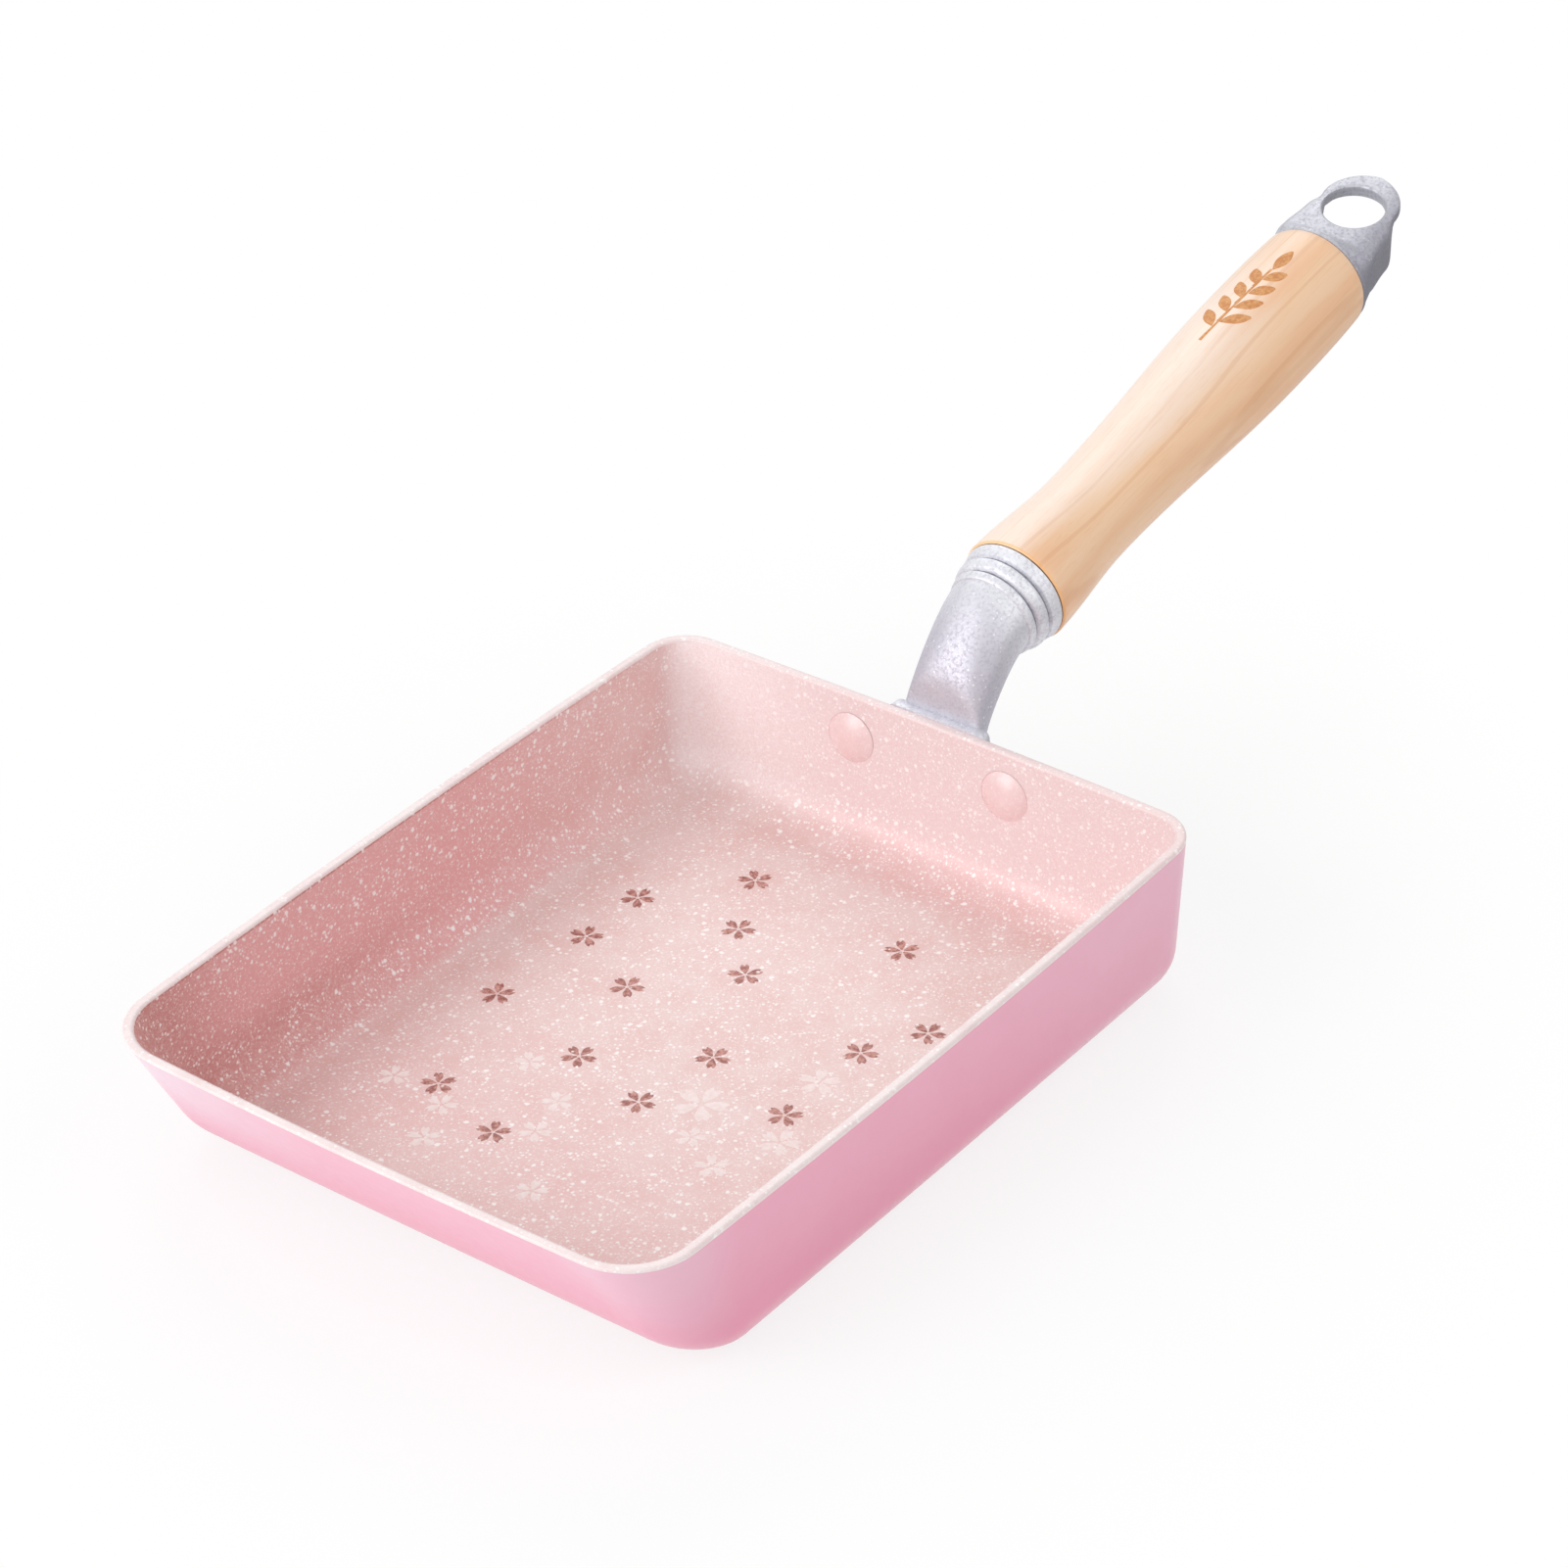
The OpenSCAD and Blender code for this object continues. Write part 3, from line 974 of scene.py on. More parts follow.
@dataclass
class Lean:
    """How far a wall leans out over the pan's height, and the radius at its foot."""

    out: float
    fillet: float

    def foot(self, rise: float, radius: float) -> float:
        """Returns how far the fillet reaches in from the wall's foot."""
        return radius * math.tan(math.atan2(rise, self.out) / 2)

    def at(self, rise: float, radius: float, height: float) -> float:
        """Finds the wall at a height above its floor.

        Args:
            rise: Height over which the wall leans.
            radius: Fillet radius.
            height: Height above the floor.

        Returns:
            Distance out from the wall's foot.
        """
        run = self.foot(rise, radius)
        if height >= run * math.sin(math.atan2(rise, self.out)):
            return self.out * height / rise
        return math.sqrt(max(0.0, radius**2 - (radius - height) ** 2)) - run


@dataclass
class PanBody:
    """The pressed vessel: painted outside, coated inside, with a pale rim."""

    length: float = 180.0
    width: float = 134.5
    height: float = 36.0
    wall: float = 2.2
    floor: float = 3.0
    front: Lean = field(default_factory=lambda: Lean(20.0, 24.0))
    rear: Lean = field(default_factory=lambda: Lean(2.0, 10.0))
    side: Lean = field(default_factory=lambda: Lean(0.8, 10.0))
    long_bow: float = 1.1
    short_bow: float = 0.8
    front_corner: float = 15.0
    rear_corner: float = 10.5
    base_corner: float = 12.0
    least_corner: float = 1.5
    corner_tuck: float = 0.8
    inner_fillet_extra: float = 2.0
    rim_round: float = 0.62
    rim_band: float = 1.0
    rim_steps: int = 6
    contact_step: float = 0.4
    contact_inset: float = 1.0
    contact_corner: float = 6.0
    contact_edge: tuple[Pair, Pair] = ((0.0, 0.25), (0.12, 0.05))
    fillet_share: float = 0.62
    fillet_steps: int = 18
    wall_shares: tuple[float, ...] = (0.55, 0.66, 0.76, 0.86, 0.94, 1.0)
    corner_steps: int = 16
    side_steps: int = 22

    @property
    def half_x(self) -> float:
        """Half of the rim's length."""
        return self.length / 2

    @property
    def half_y(self) -> float:
        """Half of the rim's width."""
        return self.width / 2

    def outline(self, ends: Point, corners: Pair, bows: Pair) -> list[Pair]:
        """Draws a plan outline with rounded corners and bowed sides.

        Args:
            ends: Distance of the front, the rear and the sides from the origin.
            corners: Radius of the front and the rear corners.
            bows: Bow of the long and the short sides.

        Returns:
            Points in order, always the same count.
        """
        front, rear, side = ends
        fore, aft = corners
        corner_at = [
            (rear - aft, side - aft, aft),
            (-front + fore, side - fore, fore),
            (-front + fore, -side + fore, fore),
            (rear - aft, -side + aft, aft),
        ]
        outward = [(0.0, 1.0), (-1.0, 0.0), (0.0, -1.0), (1.0, 0.0)]
        points: list[Pair] = []
        for index, (x, y, radius) in enumerate(corner_at):
            for step in range(self.corner_steps + 1):
                angle = math.radians(90 * (index + step / self.corner_steps))
                points.append((x + radius * math.cos(angle), y + radius * math.sin(angle)))
            away_x, away_y = outward[index]
            next_x, next_y, next_radius = corner_at[(index + 1) % 4]
            x, y = x + radius * away_x, y + radius * away_y
            run_x, run_y = next_x + next_radius * away_x - x, next_y + next_radius * away_y - y
            for step in range(1, self.side_steps):
                share = step / self.side_steps
                bow = bows[index % 2] * 4 * share * (1 - share)
                points.append((x + run_x * share + away_x * bow, y + run_y * share + away_y * bow))
        return points

    def ring(self, z: float, inset: float, base: float, shrink: float = 0.0) -> list[Point]:
        """Draws one ring of the vessel's skin.

        Args:
            z: Height of the ring.
            inset: 0 outside, the wall's thickness inside.
            base: Height of that skin's floor.
            shrink: How far the ring is drawn in, as over the rim.

        Returns:
            Points of the ring.
        """
        rise = z - base
        share = z / self.height
        drawn = inset + shrink
        radius = self.side.fillet - inset + (self.inner_fillet_extra if inset else 0.0)
        ends = []
        for half, lean, bend in (
            (self.half_x, self.front, self.front.fillet - inset),
            (self.half_x, self.rear, radius),
            (self.half_y, self.side, radius),
        ):
            foot = half - lean.out * (1 - base / self.height)
            ends.append(foot + lean.at(self.height, bend, rise) - drawn)
        low = radius - min(rise, radius)
        tuck = self.corner_tuck * (radius - math.sqrt(max(0.0, radius**2 - low**2)))
        corners = []
        for top in (self.front_corner, self.rear_corner):
            corner = self.base_corner + (top - self.base_corner) * share
            corners.append(max(self.least_corner, corner - drawn - tuck))
        bows = (self.long_bow * share, self.short_bow * share)
        return [(x, y, z) for x, y in self.outline(tuple(ends), tuple(corners), bows)]

    def heights(self, base: float) -> list[float]:
        """Spaces a skin's rings, close together in the fillet.

        Args:
            base: Height of that skin's floor.

        Returns:
            Height of each ring, going up.
        """
        fillet = self.fillet_share * self.front.fillet
        steps, rise = self.fillet_steps, self.height - self.rim_band - base
        low = [base + fillet * (step / steps) ** 2 for step in range(steps + 1)]
        return low + [base + rise * share for share in self.wall_shares]

    def contact(self, z: float, shrink: float) -> list[Point]:
        """Draws the edge of the ground face under the base.

        Args:
            z: Height of the ring.
            shrink: How far the ring is drawn in.

        Returns:
            Points of the ring.
        """
        drawn, corner = self.contact_inset + shrink, self.contact_corner - shrink
        front = self.half_x - self.front.out - self.front.foot(self.height, self.front.fillet)
        rear = self.half_x - self.rear.out - self.rear.fillet
        side = self.half_y - self.side.out - self.side.fillet
        ends = (front - drawn, rear - drawn, side - drawn)
        return [(x, y, z) for x, y in self.outline(ends, (corner, corner), (0, 0))]

    def build(self, finishes: Sequence[Material]) -> Piece:
        """Makes the vessel.

        Args:
            finishes: Ground metal, outer paint, rim coat and inner coat.

        Returns:
            The piece.
        """
        ground, paint, rim, coat = range(4)
        base, turn = self.contact_step, self.rim_round
        edge = (*self.contact_edge, (base, 0.0))
        strips = [(ground, self.contact(z, shrink)) for z, shrink in edge]
        strips += [(paint, self.ring(z, 0.0, base)) for z in self.heights(base)]
        arc = [math.radians(90 * step / self.rim_steps) for step in range(self.rim_steps + 1)]
        over = [(0.0, base, turn, angle) for angle in arc]
        over += [(self.wall, self.floor, -turn, angle) for angle in reversed(arc)]
        for inset, floor, draw, angle in over:
            z = self.height - turn + turn * math.sin(angle)
            strips.append((rim, self.ring(z, inset, floor, draw * (1 - math.cos(angle)))))
        inner = reversed(self.heights(self.floor))
        strips += [(coat, self.ring(z, self.wall, self.floor)) for z in inner]
        bm = bmesh.new()
        slots = [slot for slot, _ in strips[1:]]
        skin_through(bm, [ring for _, ring in strips], slots, (ground, coat))
        piece = finished("pan_body_formed", bm, finishes, 60.0)
        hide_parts("pan_body")
        return piece


@dataclass
class Blossom:
    """One five-petalled blossom printed on the floor."""

    x: float
    y: float
    turn_deg: float
    reach: float = 3.7


@dataclass
class FloorPrint:
    """Scatter of small blossoms printed on the cooking floor."""

    floor: float = 3.0
    film: float = 0.05
    lift: float = 0.025
    petals: int = 5
    dark_scatter: tuple[tuple[float, ...], ...] = (
        (42, 41, 0), (61, 25, 43), (25, 41, 20), (45, 17, 2), (58, -15, 42), (-1, 43, 30),
        (16, 23, 3), (33, 6, 40), (38, -36, 1), (25, -29, 4), (-8, 16, -5), (7, -6, -7),
        (-31, 33, 40), (-13, -3, -9), (0, -29, 20), (-37, 14, 27, 3.6),
    )  # fmt: skip
    pale_scatter: tuple[tuple[float, ...], ...] = (
        (-36, 28, 12, 3.4), (-46, 24, 33, 3.4), (-32, 7.5, 0, 3.5), (-47, -4, 20, 3.5),
        (-22, 10, 50, 3.3), (-6.5, -13.5, 5, 5.8), (-21, -27.5, 40, 3.8), (-15, 23, 44, 3.3),
        (-34, 42, 30, 3.3), (12.5, -28, 26, 4.4), (-7.5, -33.5, 8, 4.4), (-16, -18.5, 15, 3.2),
    )  # fmt: skip

    def petal(self, bm: Mesh, blossom: Blossom, angle: float) -> None:
        """Adds one notched petal.

        Args:
            bm: Mesh to add to.
            blossom: The blossom it belongs to.
            angle: Direction in which it points, in radians.
        """
        made = bmesh.ops.create_grid(bm, x_segments=8, y_segments=4, size=0.5)["verts"]
        for vert in made:
            along, across = vert.co.x + 0.5, vert.co.y * 2
            notch = 0.2 * (1 - abs(across)) * along**5
            out = blossom.reach * (0.12 + 0.88 * along * (1 - notch))
            swell = math.sin(math.pi * min(1.0, along**1.2 * 0.86)) ** 1.1
            side = blossom.reach * (0.055 + 0.205 * swell) * across
            vert.co = (
                blossom.x + out * math.cos(angle) - side * math.sin(angle),
                blossom.y + out * math.sin(angle) + side * math.cos(angle),
                self.floor + self.lift,
            )

    def build(self, name: str, scatter: Sequence[Sequence[float]], finish: Material) -> Piece:
        """Makes one colour of the print.

        Args:
            name: Name of the piece.
            scatter: Place, turn and, where it is unlike most, reach of each blossom.
            finish: Its material.

        Returns:
            The piece.
        """
        bm = bmesh.new()
        for place in scatter:
            blossom = Blossom(*place)
            for petal in range(self.petals):
                turn = blossom.turn_deg + 360 / self.petals * petal
                self.petal(bm, blossom, math.radians(turn))
        piece = finished(name, thickened(bm, self.film), [finish])
        return piece


@dataclass
class Rivets:
    """The pair of rivets through the rear wall."""

    pan: PanBody
    offset: float = 19.5
    depth: float = 10.0
    head: float = 11.4
    head_edge: float = 0.12
    dome: float = 1.9
    dome_steps: int = 14
    shank: float = 6.0
    foot: float = 3.4
    tail_radius: float = 4.68
    tail_curve: tuple[Pair, ...] = ((1.0, 0.0), (1.0, 0.8), (0.96, 1.2), (0.84, 1.6), (0.7, 1.9))
    play: float = 0.02

    @property
    def z(self) -> float:
        """Height of the rivets."""
        return self.pan.height - self.depth

    @property
    def lean_deg(self) -> float:
        """Angle of the rear wall from upright."""
        return math.degrees(math.atan(self.pan.rear.out / self.pan.height))

    def wall_at(self, y: float) -> float:
        """Finds the outer face of the rear wall at the rivets' height.

        Args:
            y: Distance from the middle of the wall.

        Returns:
            Distance of the face along X.
        """
        share = self.z / self.pan.height
        side = y / (self.pan.half_y - self.pan.rear_corner)
        bow = self.pan.short_bow * share * (1 - side**2)
        return self.pan.half_x - self.pan.rear.out * (1 - share) + bow

    def place(self, y: float, away: float = 0.0) -> Matrix:
        """Returns the place on the rear wall's outer face, with Z pointing out of the pan."""
        spot = Matrix.Translation((self.wall_at(y) + away, y, self.z))
        return spot @ Matrix.Rotation(math.radians(90 + self.lean_deg), 4, "Y")

    def build(self, name: str, side: int, finishes: Sequence[Material]) -> Piece:
        """Makes one rivet.

        Args:
            name: The CAD node that it stands for.
            side: 1 for +Y, -1 for -Y.
            finishes: Coat of the head and bare metal of the tail.

        Returns:
            The piece.
        """
        radius, inner = self.head / 2, -self.pan.wall - self.play
        curve = (radius**2 + self.dome**2) / (2 * self.dome)
        profile: list[Pair] = []
        for step in range(self.dome_steps):
            out = radius * math.sin(math.radians(90 * step / self.dome_steps))
            fall = curve - math.sqrt(curve**2 - out**2)
            profile.append((out, inner - self.dome + fall))
        shank, wide, top = self.shank / 2 - self.play, self.tail_radius, self.foot + self.play
        profile += [(radius, inner - self.head_edge), (radius, inner), (shank, inner)]
        profile.append((shank, top))
        profile += [(wide * share, top + rise) for share, rise in self.tail_curve]
        profile.append((0.0, profile[-1][1]))
        bm = turned(profile, 64)
        for face in bm.faces:
            face.material_index = int(face.calc_center_median().z >= inner + self.play / 2)
        piece = finished(name + "_formed", moved(bm, self.place(side * self.offset)), finishes)
        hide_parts(name)
        return piece


# ---------------------------------------------------------------- handle


@dataclass
class HandleLine:
    """The axis that the socket, the wood and the cap share."""

    tilt_deg: float = 11.5
    x: float = 119.1
    z: float = 52.8

    @property
    def run(self) -> Vector:
        """Direction of the axis in X and Z."""
        tilt = math.radians(self.tilt_deg)
        return Vector((math.cos(tilt), math.sin(tilt)))

    def place(self, along: float = 0.0, roll_deg: float = 0.0) -> Matrix:
        """Finds the place at a distance along the axis, with Z along it.

        Args:
            along: Distance from the near end of the wood.
            roll_deg: Turn about the axis.

        Returns:
            The matrix.
        """
        spot = Matrix.Translation((self.x, 0.0, self.z))
        aim = Matrix.Rotation(math.radians(90 - self.tilt_deg), 4, "Y")
        slide = Matrix.Translation((0.0, 0.0, along))
        return spot @ aim @ slide @ Matrix.Rotation(math.radians(roll_deg), 4, "Z")


@dataclass
class Bracket:
    """Cast elbow from the rear wall to the wood."""

    pan: PanBody
    rivets: Rivets
    line: HandleLine
    ear_width: float = 15.0
    middle_width: float = 24.0
    middle_height: float = 27.0
    above_rim: float = 0.3
    foot_corners: tuple[float, float, float, float] = (2.0, 0.7, 2.2, 3.5)
    foot_edge: float = 0.9
    neck_root: Pair = (-1.6, 3.3)
    neck_rise: Pair = (7.3, 7.0)
    neck_pull: float = 7.3
    neck_steps: int = 34
    neck_half_width: float = 9.2
    neck_half_depth: float = 6.5
    neck_end_radius: float = 9.9
    neck_squareness: Pair = (2.8, 0.8)
    neck_front: float = 92.6
    neck_front_round: float = 6.0
    neck_flare: Pair = (1.6, 0.42)
    socket_radius: float = 12.2
    socket_length: float = 9.0
    small_radius: float = 10.15
    socket_skin: tuple[Pair, ...] = (
        (0.45, 0.0), (1.4, 0.0), (2.4, 0.0), (2.75, 0.12), (3.0, 0.75), (3.5, 0.75),
        (3.75, 0.1), (4.0, -0.12), (4.5, -0.28), (5.0, -0.32), (5.5, -0.28), (6.0, -0.12),
        (6.25, 0.1), (6.45, 0.75), (6.95, 0.75), (7.2, 0.12), (7.5, 0.0), (8.3, 0.0),
        (8.75, 0.06), (8.95, 0.22),
    )  # fmt: skip
    grooves: tuple[Pair, Pair] = ((3.0, 3.6), (6.4, 7.0))
    spigot: Pair = (6.5, 6.0)
    spigot_edge: float = 0.3

    def neck_ring(self, share: float, count: int = 72) -> list[Point]:
        """Draws a section of the neck.

        Args:
            share: Place along the neck, from 0 at the foot to 1 at the socket.
            count: Points round it.

        Returns:
            Points of the section.
        """
        run = self.line.run
        start = Vector((self.line.x, self.line.z)) - run * self.socket_length
        root = Vector((self.pan.half_x, self.rivets.z)) + Vector(self.neck_root)
        a, b, c, d = root, root + Vector(self.neck_rise), start - run * self.neck_pull, start + run
        t, s = share, 1 - share
        centre = s**3 * a + 3 * t * s * s * b + 3 * t * t * s * c + t**3 * d
        pull = (s * s * (b - a) + 2 * t * s * (c - b) + t * t * (d - c)).normalized()
        square, easing = self.neck_squareness
        power = 2 / (square - easing * t)
        flare, reach = self.neck_flare
        end = self.neck_end_radius
        wide = self.neck_half_width + (end - self.neck_half_width) * t**3
        wide += flare * max(0.0, 1 - t / reach) ** 2
        deep = self.neck_half_depth + (end - self.neck_half_depth) * t**3
        points = []
        for index in range(count):
            angle = math.tau * index / count
            up = deep * signed_power(math.cos(angle), power)
            x = centre.x - up * pull.y
            back = x - self.neck_front
            x = (x + self.neck_front + math.sqrt(back * back + self.neck_front_round)) / 2
            points.append((x, -wide * signed_power(math.sin(angle), power), centre.y + up * pull.x))
        return points

    def socket(self) -> Mesh:
        """Turns the coned socket with its end band, raised ring and spigot.

        Returns:
            The closed solid.
        """
        wide, small, back = self.socket_radius, self.small_radius, self.socket_length
        slope = (wide - small) / back
        radius, length = self.spigot
        edge = self.spigot_edge
        profile = [(0.0, length), (radius - edge, length), (radius, length - edge), (radius, 0.0)]
        profile += [(wide - 0.45, 0.0), (wide - 0.15, -0.12)]
        profile += [(wide - slope * away - sunk, -away) for away, sunk in self.socket_skin]
        profile += [(small - 0.6, -back), (0.0, -back)]
        return moved(turned(profile, 96), self.line.place())

    def foot(self) -> Mesh:
        """Makes the foot plate with its two ears.

        Returns:
            The closed solid.
        """
        ear, half = self.ear_width / 2, self.middle_width / 2
        reach = self.rivets.offset + ear
        top = self.rivets.depth + self.above_rim
        low = top - self.middle_height
        high, notch, bend, base = self.foot_corners
        tip = ear - 0.1
        left = [
            (-half, top, high), (-half, ear, notch), (-reach, ear, tip),
            (-reach, -ear, tip), (-half, -ear, bend), (-half, low, base),
        ]  # fmt: skip
        right = [(-y, z, radius) for y, z, radius in reversed(left)]
        corners = [right[-1], *left, *right[:-1]]
        outline = rounded_outline([(y, z) for y, z, _ in corners], [part[2] for part in corners])
        spot = self.rivets.place(0.0, self.rivets.play)
        spot = spot @ Matrix.Rotation(math.radians(90), 4, "Z")
        return moved(plate_from(outline, self.rivets.foot, self.foot_edge), spot)

    def build(self, finishes: Sequence[Material]) -> Piece:
        """Makes the casting.

        Args:
            finishes: Cast surface, and the surface in the turned grooves, darker as painted shade.

        Returns:
            The piece.
        """
        neck, steps = bmesh.new(), self.neck_steps
        skin_through(neck, [self.neck_ring(step / steps) for step in range(steps + 1)])
        joins = [(Cut.ADD, neck), (Cut.ADD, self.socket())]
        bm = combined(self.foot(), joins, Joining.QUICK)
        to_axis = self.line.place().inverted()
        # Faces in the grooves take the groove finish, darker as painted shade.
        for face in bm.faces:
            back = -(to_axis @ face.calc_center_median()).z
            face.material_index = int(any(low < back < high for low, high in self.grooves))
        piece = finished("handle_bracket_cast", bm, finishes, 38.0)
        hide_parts("handle_bracket")
        return piece


@dataclass
class Grip:
    """Turned wooden grip with a burned sprig."""

    line: HandleLine
    length: float = 116.6
    near_radius: float = 12.5
    waist_radius: float = 10.9
    belly_radius: float = 13.45
    far_radius: float = 12.9
    waist_at: float = 27.0
    belly_at: float = 92.0
    chamfer: float = 0.7
    near_curve: tuple[Pair, ...] = ((1.0, 0.0), (0.6, 0.25), (0.15, 0.6))
    far_curve: tuple[Pair, ...] = ((0.25, 0.3), (1.0, 0.0))
    steps: int = 72
    bore: float = 3.4
    counterbore: Pair = (6.6, 6.2)
    mark_lift: float = 0.03
    mark_film: float = 0.06
    stem_foot: Pair = (74.0, 0.9)
    stem_top: float = 101.0
    stem_parts: int = 4
    stem_aim_deg: float = -3.0
    pairs_at: tuple[float, ...] = (79.0, 84.4, 89.8, 95.2)

    def radius(self, along: float) -> float:
        """Finds the wood's radius.

        Args:
            along: Distance from the bracket.

        Returns:
            The radius there.
        """
        near, waist, belly = self.near_radius, self.waist_radius, self.belly_radius
        if along < self.waist_at:
            return near + (waist - near) * ease(along / self.waist_at)
        if along < self.belly_at:
            share = (along - self.waist_at) / (self.belly_at - self.waist_at)
            return waist + (belly - waist) * ease(share)
        share = (along - self.belly_at) / (self.length - self.belly_at)
        return belly + (self.far_radius - belly) * share**3

    def build(self, finishes: Sequence[Material]) -> Piece:
        """Makes the wood.

        Args:
            finishes: Turned side, the chamfer at the bracket, and the end beside it, dark as
                painted shade in the gap.

        Returns:
            The piece.
        """
        wide, deep = self.counterbore
        end, cut, near, far = self.length, self.chamfer, self.near_radius, self.far_radius
        profile = [(wide, 0.0)]
        profile += [(near - drawn * cut, rise * cut) for drawn, rise in self.near_curve]
        for step in range(self.steps + 1):
            along = cut + (end - 2 * cut) * step / self.steps
            profile.append((self.radius(along), along))
        profile += [(far - drawn * cut, end - fall * cut) for drawn, fall in self.far_curve]
        profile += [(wide, end), (wide, end - deep), (self.bore, end - deep)]
        profile += [(self.bore, deep), (wide, deep)]
        bm = turned(profile, 112, closed=True)
        # The end and the first bit of the chamfer take the painted shade of the gap.
        for face in bm.faces:
            along = face.calc_center_median().z
            face.material_index = 2 if along < self.near_curve[1][1] * cut else int(along < cut)
        piece = finished("wood_grip_turned", moved(bm, self.line.place()), finishes, 30.0)
        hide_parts("wood_grip")
        return piece

    def leaf(
        self, bm: Mesh, start: Pair, aim_deg: float, length: float, half: Callable[[float], float]
    ) -> None:
        """Lays one narrow shape on the wood.

        Args:
            bm: Mesh to add to.
            start: Distance along the wood and round it from the top, of the shape's foot.
            aim_deg: Direction, 0 along the wood.
            length: Length of the shape.
            half: Half-width at a share of the length.
        """
        made = bmesh.ops.create_grid(bm, x_segments=10, y_segments=4, size=0.5)["verts"]
        aim = math.radians(aim_deg)
        spot = self.line.place()
        for vert in made:
            share = vert.co.x + 0.5
            out, side = share * length, vert.co.y * 2 * half(share)
            along = start[0] + out * math.cos(aim) - side * math.sin(aim)
            angle = (start[1] + out * math.sin(aim) + side * math.cos(aim)) / self.belly_radius
            radius = self.radius(along) + self.mark_lift
            vert.co = spot @ Vector((-radius * math.cos(angle), radius * math.sin(angle), along))

    def sprig(self, finish: Material) -> Piece:
        """Makes the burned sprig: a stem with paired leaves.

        Args:
            finish: Its material.

        Returns:
            The piece.
        """

        def blade(share: float) -> float:
            """Returns a leaf's half-width."""
            return 0.08 + 1.35 * math.sin(math.pi * min(1.0, share * 0.97)) ** 0.9

        def stalk(share: float) -> float:
            """Returns the stem's half-width."""
            return 0.4 - 0.16 * share

        bm = bmesh.new()
        (foot, side), top, aim = self.stem_foot, self.stem_top, self.stem_aim_deg
        step = (top - foot) / self.stem_parts
        for part in range(self.stem_parts):
            self.leaf(bm, (foot + part * step, side - 0.25 * part), aim, step, stalk)
        for index, along in enumerate(self.pairs_at):
            across = side - 0.05 * (along - foot)
            turn, shorter = 3 * index, 0.5 * index
            self.leaf(bm, (along, across + 0.4), 42.0 - turn, 7.2 - shorter, blade)
            self.leaf(bm, (along + 1.8, across - 0.4), turn - 46.0, 7.0 - shorter, blade)
        self.leaf(bm, (top, side - 1.4), aim, 7.4, blade)
        piece = finished("burned_sprig", thickened(bm, self.mark_film), [finish])
        return piece


